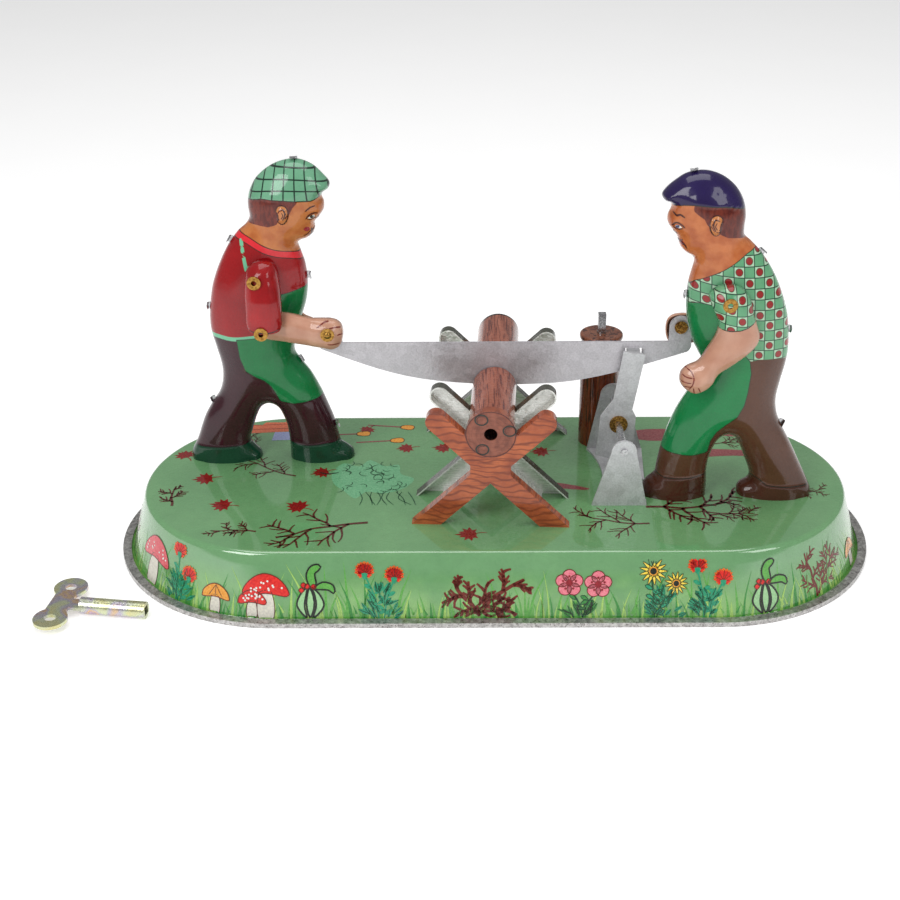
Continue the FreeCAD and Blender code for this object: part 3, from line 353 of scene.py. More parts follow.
def dotted_shirt(shader, x, z, colour):
    """A grid of dark lines whose alternate cells hold a dark-red dot on a pale square."""
    cell = 2.9
    column = shader.math("MULTIPLY_ADD", z, 0.06, x)
    row = shader.math("MULTIPLY_ADD", x, 0.10, z)
    lines = shader.math("MAXIMUM", bands(shader, row, cell, 0.13, 0.06),
                        bands(shader, column, cell, 0.13, 0.06))
    index = [shader.math("FLOOR", shader.math("DIVIDE", value, cell)) for value in (column, row)]
    parity = shader.math("PINGPONG", shader.math("ADD", *index), 1.0)
    inside = [shader.math("SUBTRACT", shader.math("FLOORED_MODULO", value, cell), cell / 2)
              for value in (column, row)]
    radius = shader.math("SQRT", shader.math("ADD", *[shader.math("POWER", value,
                                                                  2.0) for value in inside]))
    pale = shader.mix(parity, colour, srgb(178, 214, 182))
    pale = shader.mix(lines, pale, srgb(24, 62, 44))
    dot = shader.math("MULTIPLY", shader.fade(radius, 0.86, 0.98, 1.0, 0.0), parity)
    ring = shader.math("MULTIPLY", shader.fade(radius, 1.02, 1.14, 1.0, 0.0), parity)
    pale = shader.mix(ring, pale, srgb(60, 70, 50))
    return shader.mix(dot, pale, srgb(152, 40, 40))


LEFT_PALETTE = {
    "shirt": ((142, 12, 18), (170, 28, 32)), "pants": ((46, 12, 24), (70, 28, 38)),
    "shoes": ((12, 56, 38), (24, 78, 52)), "skin": ((196, 120, 66), (176, 96, 48)),
    "hair": ((88, 26, 18), (116, 44, 30)), "cap": ((98, 156, 122), (122, 178, 144)),
    "collar": ((214, 34, 48), (232, 60, 66)), "strap": ((110, 190, 150), (130, 204, 164)),
    "apron": ((12, 112, 58), (26, 130, 72)),
}
RIGHT_PALETTE = {
    "shirt": ((92, 160, 116), (114, 176, 132)), "pants": ((78, 44, 28), (100, 64, 46)),
    "shoes": ((66, 34, 22), (88, 50, 36)), "skin": ((198, 116, 66), (176, 90, 44)),
    "hair": ((84, 24, 16), (110, 42, 28)), "cap": ((30, 16, 62), (40, 28, 84)),
    "apron": ((10, 118, 62), (26, 136, 76)),
}
MATERIALS = {
    "galvanised": galvanised("galvanised", (200, 200, 203)),
    "saw": galvanised("saw_sheet", (194, 191, 196)),
    "bare_tin": bare_tin(),
    "steel": metal("bright_steel", (150, 150, 152), (214, 214, 216)),
    "spring": metal("spring_steel", (70, 74, 90), (120, 124, 140)),
    "brass": metal("brass", (120, 84, 36), (190, 146, 74), (0.16, 0.34)),
    "yellow_zinc": yellow_zinc(),
    "front_frame": trestle_tin("trestle_front_print", -1),
    "back_frame": trestle_tin("trestle_back_print", 1),
    "log": grain_tin("log_print", (100, 44, 32), (148, 82, 62), (172, 104, 82), (1.6, 0.07, 1.6), 0.8,
                     42.9),
    "stump": grain_tin("stump_print", (58, 18, 8), (108, 44, 20), (138, 64, 34), (1.3, 1.3, 0.07), 0.9),
    "stump_cap": grain_tin("stump_cap_print", (66, 30, 20), (112, 62, 42), (142, 88, 64), (1.0, 1.0, 1.0),
                           0.5),
    "left_man": man_print("left_man_print", LEFT_PALETTE, plain, plaid_cap),
    "right_man": man_print("right_man_print", RIGHT_PALETTE, dotted_shirt, plain),
}


def skin_print():
    """Pinkish hands and forearms, shaded a little towards tan."""
    shader = tin_print("arm_print")
    tone = shader.fade(shader.noise(0.2, 3.0), 0.35, 0.65)
    return gloss_finish(shader, shader.mix(tone, *ARM_SKIN))


MATERIALS["skin"] = skin_print()

CAD_LOOKS = {
    "galvanised": ["rocker_lever", "lever_bracket"],
    "saw": ["saw_blade"],
    "bare_tin": ["bottom_plate", "motor_lower_plate", "motor_upper_plate"],
    "steel": ["lever_axle", "winding_arbor", "ratchet_wheel", "click_rivet", "click", "motor_pillars",
              "crank_stud", "second_arbor", "crank_hub", "crank_disc", "crank_pin", "governor_arbor",
              "governor_weight"],
    "spring": ["mainspring"],
    "brass": ["lever_hub", "great_wheel", "second_pinion", "second_wheel", "crank_pinion", "crank_wheel",
              "governor_pinion"] + [n for n in NODES
                                     if n.endswith("eyelet") or n.endswith("rivet") and "man" in n],
    "yellow_zinc": ["key_tube", "key_wing"],
    "front_frame": ["trestle_front"],
    "back_frame": ["trestle_middle", "trestle_rear"],
    "log": ["log_shell", "log_end_cap"],
    "stump": ["stump_tube"],
    "stump_cap": ["stump_cap"],
}
for look, names in CAD_LOOKS.items():
    for node_name in names:
        data = NODES[node_name].data
        data.materials.clear()
        data.materials.append(MATERIALS[look])


# ---- plane geometry --------------------------------------------------------------------------
def spline(points, step, closed=False):
    """Points about `step` apart on a smooth curve through the given ones."""
    given = np.array(points, float)
    count = len(given)
    spans = count if closed else count - 1
    result = []
    for i in range(spans):
        order = [(i + k) % count if closed else min(max(i + k, 0), count - 1) for k in (-1, 0, 1, 2)]
        before, start, end, after = given[order]
        lead, length, trail = (np.linalg.norm(b - a) for a,
                               b in ((before, start), (start, end), (end, after)))
        leave = (end - before) / (lead + length) * length
        arrive = (after - start) / (length + trail) * length
        steps = max(1, round(length / step))
        for t in np.arange(steps) / steps:
            result.append((2 * t ** 3 - 3 * t ** 2 + 1) * start + (t ** 3 - 2 * t ** 2 + t) * leave
                          + (3 * t ** 2 - 2 * t ** 3) * end + (t ** 3 - t ** 2) * arrive)
    if not closed:
        result.append(given[-1])
    return np.array(result)


def ring_segments(ring):
    return np.stack([ring, np.roll(ring, -1, axis=0)], axis=1)


def distance(points, segments):
    best = np.full(len(points), 1e9)
    for start, end in segments:
        along = end - start
        share = np.clip((points - start) @ along / max(along @ along, 1e-12), 0, 1)
        gap = points - start - share[:, None] * along
        best = np.minimum(best, np.hypot(gap[:, 0], gap[:, 1]))
    return best


def inside(points, ring):
    result = np.zeros(len(points), bool)
    for (x0, y0), (x1, y1) in ring_segments(ring):
        if y0 == y1:
            continue
        crosses = (points[:, 1] > min(y0, y1)) & (points[:, 1] <= max(y0, y1))
        at = x0 + (points[:, 1] - y0) * (x1 - x0) / (y1 - y0)
        result ^= crosses & (points[:, 0] < at)
    return result


def signed(points, ring):
    gap = distance(points, ring_segments(ring))
    return np.where(inside(points, ring), gap, -gap)


def band(points, line, half_width):
    """Signed distance to a strip along a line."""
    path = spline(line, 0.6)
    return half_width - distance(points, np.stack([path[:-1], path[1:]], axis=1))


def smooth_step(values, low, high):
    share = np.clip((values - low) / (high - low), 0, 1)
    return share * share * (3 - 2 * share)


def hexagons(ring, step):
    low, high = ring.min(0), ring.max(0)
    rows = np.arange(low[1], high[1], step * 0.866)
    points = [(x + (k % 2) * step / 2, y) for k, y in enumerate(rows) for x in np.arange(low[0], high[0],
                                                                                         step)]
    return np.array(points).reshape(-1, 2)


def triangulate(ring, extra, holes=()):
    """Triangles that fill a ring, using the extra points, and leaving the holes open."""
    loops = [ring, *holes]
    points = np.concatenate([*loops, extra]) if len(extra) else np.concatenate(loops)
    edges, start = [], 0
    for loop in loops:
        edges += [(start + i, start + (i + 1) % len(loop)) for i in range(len(loop))]
        start += len(loop)
    verts, _, faces, *_ = delaunay_2d_cdt([Vector(p) for p in points], edges, [], 0, 1e-6)
    verts = np.array([tuple(v) for v in verts])
    faces = np.array([f for f in faces if len(f) == 3])
    middle = verts[faces].mean(axis=1)
    keep = inside(middle, ring)
    for hole in holes:
        keep &= ~inside(middle, hole)
    return verts, faces[keep]


# ---- building meshes -------------------------------------------------------------------------
def make_object(name, body, points, faces, materials, indices=None, smooth=True, replaced=()):
    mesh = bpy.data.meshes.new(name)
    mesh.from_pydata([tuple(p) for p in np.asarray(points) * MM], [],
                     [tuple(int(i) for i in f) for f in faces])
    for material in materials:
        mesh.materials.append(material)
    if indices is not None:
        mesh.polygons.foreach_set("material_index", indices)
    mesh.polygons.foreach_set("use_smooth", [smooth] * len(mesh.polygons))
    mesh.update()
    made = bpy.data.objects.new(name, mesh)
    bpy.context.scene.collection.objects.link(made)
    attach(made, body)
    if replaced:
        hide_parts(*replaced)
    return made


INK_STEP = 0.018             # height of one layer of print


class Print:
    """Shapes printed on a surface. spot(u, v) gives the surface point and its normal, in mm."""

    def __init__(self, spot, flip=False, keep=None):
        self.spot = spot
        self.keep = keep
        self.flip = flip
        self.points, self.faces, self.inks = [], [], []

    def add(self, flat, faces, colour, level):
        start = len(self.points)
        for u, v in flat:
            point, normal = self.spot(u, v)
            self.points.append(np.array(point) + np.array(normal) * INK_STEP * level)
        kept = [self.keep is None or self.keep(u, v) for u, v in flat]
        for face in faces:
            if all(kept[int(i)] for i in face):
                order = [start + int(i) for i in face]
                self.faces.append(order[::-1] if self.flip else order)
                self.inks.append(colour)

    def line(self, points, width, colour, level=3, ends=0.35, step=0.7, taper=False):
        path = spline(points, step)
        count = len(path)
        along = np.gradient(path, axis=0)
        along /= np.maximum(np.hypot(along[:, 0], along[:, 1]), 1e-9)[:, None]
        across = np.stack([-along[:, 1], along[:, 0]], axis=1)
        share = np.linspace(0, 1, count)
        if taper:
            half = width / 2 * (1 - share * (1 - ends))
        else:
            half = width / 2 * (ends + (1 - ends) * np.minimum(1, 4 * np.minimum(share, 1 - share) + 0.2))
        flat = np.concatenate([path - across * half[:, None], path + across * half[:, None]])
        faces = [(i, i + 1, count + i + 1, count + i) for i in range(count - 1)]
        self.add(flat, faces, colour, level)

    def fill(self, outline, colour, level=1, step=0.7, round_off=True):
        ring = spline(outline, step, True) if round_off else np.array(outline, float)
        grid = hexagons(ring, step * 1.4)
        if len(grid):
            keep = inside(grid, ring)
            grid = grid[keep]
        if len(grid):
            grid = grid[distance(grid, ring_segments(ring)) > step * 0.4]
        points, faces = triangulate(ring, grid)
        self.add(points, faces, colour, level)

    def outlined(self, outline, colour, edge, width=0.3, level=1, step=0.7):
        self.fill(outline, colour, level, step)
        ring = spline(outline, step, True)
        self.line(np.concatenate([ring, ring[:2]])[::2], width, edge, level + 2, 1.0, step)

    def disc(self, u, v, radius, colour, level=2, sides=12):
        turns = np.arange(sides) * 2 * math.pi / sides
        flat = [(u + radius * math.cos(t), v + radius * math.sin(t)) for t in turns]
        self.add([(u, v)] + flat, [(0, i + 1, (i + 1) % sides + 1) for i in range(sides)], colour, level)

    def build(self, name, body):
        used = sorted(set(self.inks))
        indices = [used.index(colour) for colour in self.inks]
        return make_object(name, body, self.points, self.faces, [INKS[c] for c in used], indices,
                           False)


INKS = {name: ink(name, *colours) for name, colours in {
    "black": [(26, 30, 24)], "dark_green": [(20, 66, 38)], "brown": [(96, 30, 22), (122, 44, 30)],
    "twig": [(74, 34, 28), (98, 48, 38)], "leaf_red": [(118, 18, 18), (146, 30, 24)],
    "red": [(208, 28, 30), (230, 52, 40)], "pink": [(222, 110, 128), (236, 140, 150)],
    "pink_red": [(214, 74, 86), (226, 96, 104)], "orange": [(226, 96, 36), (238, 130, 50)],
    "amber": [(222, 142, 40), (236, 168, 70)], "yellow": [(240, 208, 66), (248, 224, 100)],
    "white": [(240, 240, 232), (222, 222, 214)], "cream": [(228, 224, 208), (206, 202, 190)],
    "teal": [(32, 142, 104), (50, 160, 118)], "pale_green": [(146, 196, 140), (166, 210, 156)],
    "grass_dark": [(52, 132, 58), (66, 148, 66)], "grass": [(86, 160, 70), (104, 176, 80)],
    "grass_light": [(150, 196, 96), (170, 208, 112)], "plank": [(206, 96, 62), (222, 122, 84)],
    "lilac": [(150, 160, 206), (170, 178, 216)], "maroon": [(132, 62, 66), (150, 84, 84)],
    "bush": [(104, 172, 126), (124, 186, 140)], "mouth": [(120, 26, 34)], "brow": [(60, 26, 22)],
    "finger": [(104, 42, 34)], "blue": [(60, 70, 120)],
}.items()}

# ---- base ------------------------------------------------------------------------------------
BASE_TOP = 19.3
HALF_STRAIGHT = 62.1
FOOT_RADIUS, TOP_RADIUS = 47.9, 42.4
FOOT_Z = 0.5
ARC_RADIUS = 45.0            # radius at which lengths round the skirt are measured
EDGE_TANGENT = 1.35          # from the sharp corner to where its rounding starts
PRINT_MARGIN = 1.9


def skirt_radius(z):
    return FOOT_RADIUS + (TOP_RADIUS - FOOT_RADIUS) * (z - FOOT_Z) / (BASE_TOP - FOOT_Z)


def round_base(u):
    """Centre and outward direction at length u round the base from the middle of its front."""
    side = 1 if u > 0 else -1
    half = 2 * HALF_STRAIGHT + math.pi * ARC_RADIUS
    u = (u + half) % (2 * half) - half
    past = abs(u) - HALF_STRAIGHT
    quarter = math.pi * ARC_RADIUS
    if past <= 0:
        return (u, 0.0), (0.0, -1.0)
    if past < quarter:
        turn = past / ARC_RADIUS
        return (side * HALF_STRAIGHT, 0.0), (side * math.sin(turn), -math.cos(turn))
    return (side * (HALF_STRAIGHT - (past - quarter)), 0.0), (0.0, 1.0)


def skirt_spot(u, z):
    centre, out = round_base(u)
    radius = skirt_radius(z)
    rise = (FOOT_RADIUS - TOP_RADIUS) / (BASE_TOP - FOOT_Z)
    size = math.hypot(1, rise)
    return ((centre[0] + out[0] * radius, centre[1] + out[1] * radius, z),
            (out[0] / size, out[1] / size, rise / size))


def top_spot(x, y):
    return (x, y, BASE_TOP), (0.0, 0.0, 1.0)


def on_top(x, y):
    return math.hypot(max(abs(x) - HALF_STRAIGHT, 0), y) < TOP_RADIUS - PRINT_MARGIN


def on_skirt(u, z):
    return 1.0 < z < BASE_TOP - PRINT_MARGIN


def make_base():
    """The drawn tray: flange, sloping skirt, rounded edge and flat top with its two openings."""
    length = 2 * (2 * HALF_STRAIGHT + math.pi * ARC_RADIUS)
    stations = np.arange(0, length, 1.0) - length / 2
    wall = np.array([TOP_RADIUS - FOOT_RADIUS, BASE_TOP - FOOT_Z])
    wall /= np.linalg.norm(wall)
    corner = np.array([TOP_RADIUS, BASE_TOP])
    low, high = corner - wall * EDGE_TANGENT, corner - np.array([EDGE_TANGENT, 0.0])
    profile = [(50.2, 1.0), (skirt_radius(1.0), 1.0)]
    profile += [(skirt_radius(z), z) for z in np.linspace(1.4, low[1], 8)[:-1]]
    for t in np.linspace(0, 1, 7):
        profile.append(tuple((1 - t) ** 2 * low + 2 * t * (1 - t) * corner + t * t * high))
    points, faces = [], []
    for radius, z in profile:
        for u in stations:
            centre, out = round_base(u)
            points.append((centre[0] + out[0] * radius, centre[1] + out[1] * radius, z))
    count = len(stations)
    for row in range(len(profile) - 1):
        for i in range(count):
            j = (i + 1) % count
            faces.append((row * count + i, row * count + j, (row + 1) * count + j, (row + 1) * count + i))
    rim = np.array(points[-count:])[:, :2]
    slot = np.array([(33.9, 0.2), (43.2, 0.2), (43.2, 3.0), (33.9, 3.0)])
    turns = np.arange(24) * math.pi / 12
    hole = np.array([(33.3 + 1.9 * math.cos(t), 25.6 + 1.9 * math.sin(t)) for t in turns])
    flat, triangles = triangulate(rim, np.zeros((0, 2)), [slot, hole])
    start = len(points)
    points += [(x, y, BASE_TOP) for x, y in flat]
    faces += [tuple(int(i) + start for i in triangle) for triangle in triangles]
    made = make_object("base_print", "frame", points, faces, [base_print()],
                       replaced=["base_shell"])
    walls = len(faces) - len(triangles)
    made.data.polygons.foreach_set("use_smooth", [k < walls for k in range(len(faces))])
    weld = made.modifiers.new("weld", "WELD")
    weld.merge_threshold = 0.00001


def twig(sheet, u, v, length, angle, colour, seed, width=0.55, spread=0.9, depth=2):
    """A branching twig from (u, v) towards angle (degrees), with curved side shoots."""
    chance = random.Random(seed)
    turn = math.radians(angle)
    bow = chance.choice((-1, 1)) * chance.uniform(0.25, 0.7)
    knots = [(u, v)]
    steps = 5
    for k in range(1, steps + 1):
        lean = turn + bow * (k / steps - 0.35) + chance.uniform(-0.2, 0.2)
        last = knots[-1]
        knots.append((last[0] + length / steps * math.cos(lean), last[1] + length / steps * math.sin(lean)))
    sheet.line(knots, width, colour, 3, 0.55, 0.9, True)
    if depth:
        side = chance.choice((-1, 1))
        for k in range(1, steps):
            for _ in range(1 if chance.random() < 0.65 else 2):
                reach = length * chance.uniform(0.34, 0.52) * (1.2 - k / steps * 0.5)
                bend = angle + side * math.degrees(spread) * chance.uniform(0.8, 1.2)
                twig(sheet, *knots[k], reach, bend, colour, chance.randrange(10 ** 6), width * 0.8, spread,
                     depth - 1)
                side = -side


def oak_leaf(sheet, x, y, size, angle):
    outline = [(0, -0.55), (0.3, -0.5), (0.62, -0.62), (0.5, -0.3), (0.95, -0.12), (0.6, 0.05), (0.82, 0.4),
               (0.42, 0.3), (0.36, 0.72), (0.15, 0.55), (0, 1.05)]
    outline += [(-a, b) for a, b in outline[-2:0:-1]]
    turn = math.radians(angle)
    cosine, sine = math.cos(turn) * size, math.sin(turn) * size

    def put(a, b):
        return x + a * cosine - b * sine, y + a * sine + b * cosine

    sheet.fill([put(a, b) for a, b in outline], "leaf_red", 1, 0.8, False)
    sheet.line([put(0, -0.4), put(0.12, -0.9), put(0.05, -1.3)], 0.35, "leaf_red", 2)
    sheet.line([put(0, -0.4), put(0, 0.8)], 0.22, "brown", 2)


def make_top_print():
    sheet = Print(top_spot, keep=on_top)
    for x, y, size, angle in ((-87.3, 0.5, 2.6, 100), (-79.8, -15.6, 2.6, 80), (-57.5, -16.6, 2.7, 60),
                              (-52.2, 4.2, 2.4, 110), (-7.6, -32.6, 2.6, 95), (-27, 20, 2.2, 100),
                              (-15.5, 20, 2.3, 85), (15.2, 17.3, 2.4, 95), (62, 33, 2.3, 70),
                              (82, 14, 2.2, 120),
                              (90, 4, 2.2, 60), (-96, 16, 2.4, 30), (-40, 33, 2.0, 140),
                              (20, 34, 2.0, 100)):
        oak_leaf(sheet, x, y, size * 1.55, angle)
    for x, y, length, angle, seed, wide in (
            (-94.5, -16, 12, 100, 3, 0.8), (-68, -30.8, 13, 165, 5, 0.7), (-60, 2.0, 19, 158, 8, 0.7),
            (-36.5, -26.0, 27, 186, 11, 1.1), (44, -27.0, 21, 172, 14, 0.75),
            (44.0, -17.5, 26, -6, 17, 1.2),
            (62, -22.5, 14, 8, 19, 0.7), (88, -9.5, 11, 8, 23, 0.5), (70, 22, 12, 10, 27, 0.5),
            (-74, 22, 10, 120, 29, 0.5), (90, 6, 12, 120, 31, 0.5), (-4, 37, 14, 8, 37, 0.4)):
        twig(sheet, x, y, length, angle, "twig", seed, wide, 0.8)
    # A scribbled green bush.
    sheet.fill([(-49, 3), (-46, 10), (-41, 8), (-38, 12), (-33, 8), (-29, 9), (-28, 3), (-24, 0), (-27, -6),
                (-33, -9), (-38, -8), (-41, -12), (-45, -7), (-48, -3)], "bush", 1, 1.2)
    chance = random.Random(41)
    for k in range(34):
        x, y = chance.uniform(-47, -27), chance.uniform(-9, 10)
        reach = chance.uniform(2.0, 4.2)
        turn = chance.uniform(0, 2 * math.pi)
        arc = [(x + reach * 0.6 * math.cos(turn + s), y + reach * 0.6 * math.sin(turn + s))
               for s in (0, 0.9, 1.8, 2.6)]
        sheet.line(arc, 0.28, "dark_green", 3)
    for k in range(9):
        x = -40 + 1.8 * k
        sheet.line([(x, -8), (x + chance.uniform(-1, 2.5), -12), (x + chance.uniform(-1, 4), -16)], 0.3,
                   "dark_green", 3)
    sheet.line([(-47, 4), (-50.5, 3.2), (-53, 4.2)], 0.6, "black", 3)
    # A plank with a patch, a path band and a few small tool shapes.
    sheet.fill([(-84, 30), (-64.5, 32), (-64.8, 40), (-70, 41.4), (-84, 39.6)], "plank", 1, 1.4, False)
    for y in (34.2, 37.2):
        sheet.line([(-83.5, y - 1.2), (-65, y)], 0.25, "brown", 2)
    sheet.fill([(-70, 25.6), (-64, 26), (-63.8, 31.6), (-69.6, 31.4)], "lilac", 3, 1.2, False)
    sheet.fill([(46, 25.5), (58, 24.5), (74, 27.5), (82, 26.0), (80, 30), (60, 32.5), (46, 31.5)], "maroon",
               1, 1.4)
    sheet.fill([(60, 13.5), (76, 14), (88, 12), (86, 16), (70, 18.5), (58, 17.5)], "maroon", 1, 1.4)
    sheet.fill([(14, -4.6), (27, -7.4), (28.5, -6.4), (16, -2.2)], "maroon", 1, 1.0)
    for x, y, turn in ((-48, 29.6, 4), (-34, 35.4, -8), (-37, 24.6, 6), (6, 34, 10)):
        cosine, sine = math.cos(math.radians(turn)), math.sin(math.radians(turn))
        handle = [(x - 6 * cosine, y - 6 * sine), (x + 5 * cosine, y + 5 * sine)]
        sheet.line(handle, 0.7, "maroon", 2, 1.0)
        head = [(x + (5 + a) * cosine - b * sine, y + (5 + a) * sine + b * cosine) for a, b in
                ((0, 0.9), (3.4, 1.6), (4.2, 0), (3.4, -1.6), (0, -0.9))]
        sheet.outlined(head, "amber", "twig", 0.25, 2)
    sheet.build("base_top_print", "frame")


def mushroom(sheet, u, base, height, cap_colour, dots=True):
    stem = height * 0.16
    sheet.outlined([(u - stem, base), (u + stem, base), (u + stem * 0.8, base + height * 0.6),
                    (u - stem * 0.8, base + height * 0.6)], "cream", "twig", 0.2, 5)
    low = base + height * 0.5
    wide = height * 0.52
    sheet.outlined([(u - wide, low), (u - wide * 0.95, low + height * 0.2),
                    (u - wide * 0.5, low + height * 0.44),
                    (u, low + height * 0.52), (u + wide * 0.55, low + height * 0.42),
                    (u + wide * 0.95, low + height * 0.18), (u + wide, low), (u, low + height * 0.07)],
                   cap_colour, "brown", 0.25, 7)
    if dots:
        chance = random.Random(int(u * 7))
        for k in range(14):
            share = chance.uniform(-0.8, 0.8)
            rise = chance.uniform(0.12, 0.42) * (1 - share * share * 0.6)
            sheet.disc(u + wide * share, low + height * rise, 0.3, "white", 10, 8)
    else:
        for share in (-0.5, 0, 0.5):
            sheet.line([(u + wide * share, low + height * 0.08), (u, low + height * 0.48)], 0.18, "twig", 9)


def leafy_stem(sheet, u, low, high, lean, colour, edge=None, leaves=5):
    top = (u + lean, high)
    sheet.line([(u, low), (u + lean * 0.3, (low + high) / 2), top], 0.45, edge or colour, 5, 0.8)
    for k in range(leaves):
        share = 0.1 + 0.7 * k / leaves
        side = -1 if k % 2 else 1
        x, y = u + lean * share * share, low + (high - low) * share
        reach = 2.3
        leaf = [(x, y), (x + side * reach * 0.5, y + 1.3), (x + side * reach, y + 1.1),
                (x + side * reach * 0.6, y + 0.1)]
        if edge:
            sheet.outlined(leaf, colour, edge, 0.22, 5)
        else:
            sheet.fill(leaf, colour, 5)


def carnation(sheet, u, v, size):
    """A frilled red bloom: a fan of ragged petals over a small cup."""
    for turn, reach in ((205, 0.8), (335, 0.8), (160, 0.95), (20, 0.95), (120, 1.0), (60, 1.0), (90, 0.9)):
        middle = math.radians(turn)
        ring = []
        for k in range(9):
            bearing = middle + (k / 8 - 0.5) * 1.25
            out = size * reach * (1.0 if k % 2 else 0.84)
            ring.append((u + out * math.cos(bearing), v + out * 0.95 * math.sin(bearing)))
        ring.append((u, v - size * 0.25))
        sheet.fill(ring, "red", 8, 0.6, False)
        sheet.line(ring[:9], 0.2, "orange", 10, 0.8, 0.5)
        sheet.line([ring[0], ring[9]], 0.16, "brown", 10, 0.8, 0.6)
    sheet.fill([(u - size * 0.3, v - size * 0.2), (u + size * 0.3, v - size * 0.2), (u, v - size * 0.8)],
               "teal", 11)


def foliage(sheet, u, low, high, half_width, colour, edge, seed, count=26):
    """A loose clump of small leaves."""
    chance = random.Random(seed)
    for k in range(count):
        rise = chance.random()
        y = low + (high - low) * rise
        x = u + chance.uniform(-1, 1) * half_width * (1.05 - 0.55 * rise)
        turn = math.atan2(1.0, (x - u) / half_width * 1.6) + chance.uniform(-0.4, 0.4)
        reach, wide = chance.uniform(1.1, 1.9), chance.uniform(0.38, 0.62)
        cosine, sine = math.cos(turn), math.sin(turn)
        leaf = [(x + a * reach * cosine - b * wide * sine, y + a * reach * sine + b * wide * cosine)
                for a, b in ((-1, 0), (-0.3, 0.9), (0.5, 0.7), (1, 0), (0.5, -0.7), (-0.3, -0.9))]
        sheet.fill(leaf, colour, 5 + k % 2, 0.5)
        sheet.line([leaf[0], leaf[3]], 0.16, edge, 8, 0.6, 0.6)


EIGHTHS = np.arange(8) * math.pi / 4


def pink_flower(sheet, u, v, size):
    for k in range(5):
        turn = math.pi / 2 + k * 2 * math.pi / 5
        x, y = u + size * 0.55 * math.cos(turn), v + size * 0.55 * math.sin(turn)
        petal = [(x + size * 0.5 * math.cos(t), y + size * 0.46 * math.sin(t)) for t in EIGHTHS]
        sheet.outlined(petal, "pink", "brown", 0.22, 7, 0.5)
    sheet.disc(u, v, size * 0.26, "mouth", 11)
    for k in range(5):
        turn = math.pi / 2 + k * 2 * math.pi / 5
        sheet.disc(u + size * 0.5 * math.cos(turn), v + size * 0.5 * math.sin(turn), size * 0.09, "mouth",
                   11, 8)


def sunflower(sheet, u, v, size):
    for k in range(13):
        turn = k * 2 * math.pi / 13
        cosine, sine = math.cos(turn), math.sin(turn)
        wide = size * 0.16
        petal = [(u + size * 0.25 * cosine - wide * sine, v + size * 0.25 * sine + wide * cosine),
                 (u + size * cosine, v + size * sine),
                 (u + size * 0.25 * cosine + wide * sine, v + size * 0.25 * sine - wide * cosine)]
        sheet.fill(petal, "yellow", 7, 0.6, False)
        sheet.line([petal[0], petal[1], petal[2]], 0.16, "black", 9, 1.0)
    sheet.disc(u, v, size * 0.32, "amber", 10)
    sheet.disc(u, v, size * 0.24, "black", 11)


def gourd(sheet, u, base):
    for lean in (-1.9, 0.1, 2.1):
        rib = [(u + lean * 0.45, base), (u + lean * 1.35 - 1.0, base + 3.4),
               (u + lean * 0.9 - 0.6, base + 6.8),
               (u + lean * 0.35, base + 8.2), (u + lean * 0.9 + 0.8, base + 6.6),
               (u + lean * 1.35 + 1.1, base + 3.2)]
        sheet.outlined(rib, "pale_green", "black", 0.5, 5)
    leaf = [(u + 0.6, base + 8.2), (u - 0.8, base + 11.5), (u + 0.6, base + 14.3), (u + 3.2, base + 14.6),
            (u + 3.0, base + 13.4), (u + 1.6, base + 12.2), (u + 1.9, base + 9.4)]
    sheet.outlined(leaf, "grass", "black", 0.45, 7)
    side = [(u + 1.2, base + 8.0), (u + 3.6, base + 9.8), (u + 6.6, base + 9.0), (u + 7.0, base + 6.6),
            (u + 5.4, base + 7.6), (u + 3.4, base + 7.8)]
    sheet.outlined(side, "grass", "black", 0.45, 7)
    for a, b in ((-2.2, 7.6), (-0.6, 8.7), (1.2, 8.6), (-1.6, 9.0)):
        berry = [(u + a + 0.8 * math.cos(t), base + b + 0.75 * math.sin(t)) for t in EIGHTHS]
        sheet.outlined(berry, "red", "brown", 0.25, 9, 0.5)


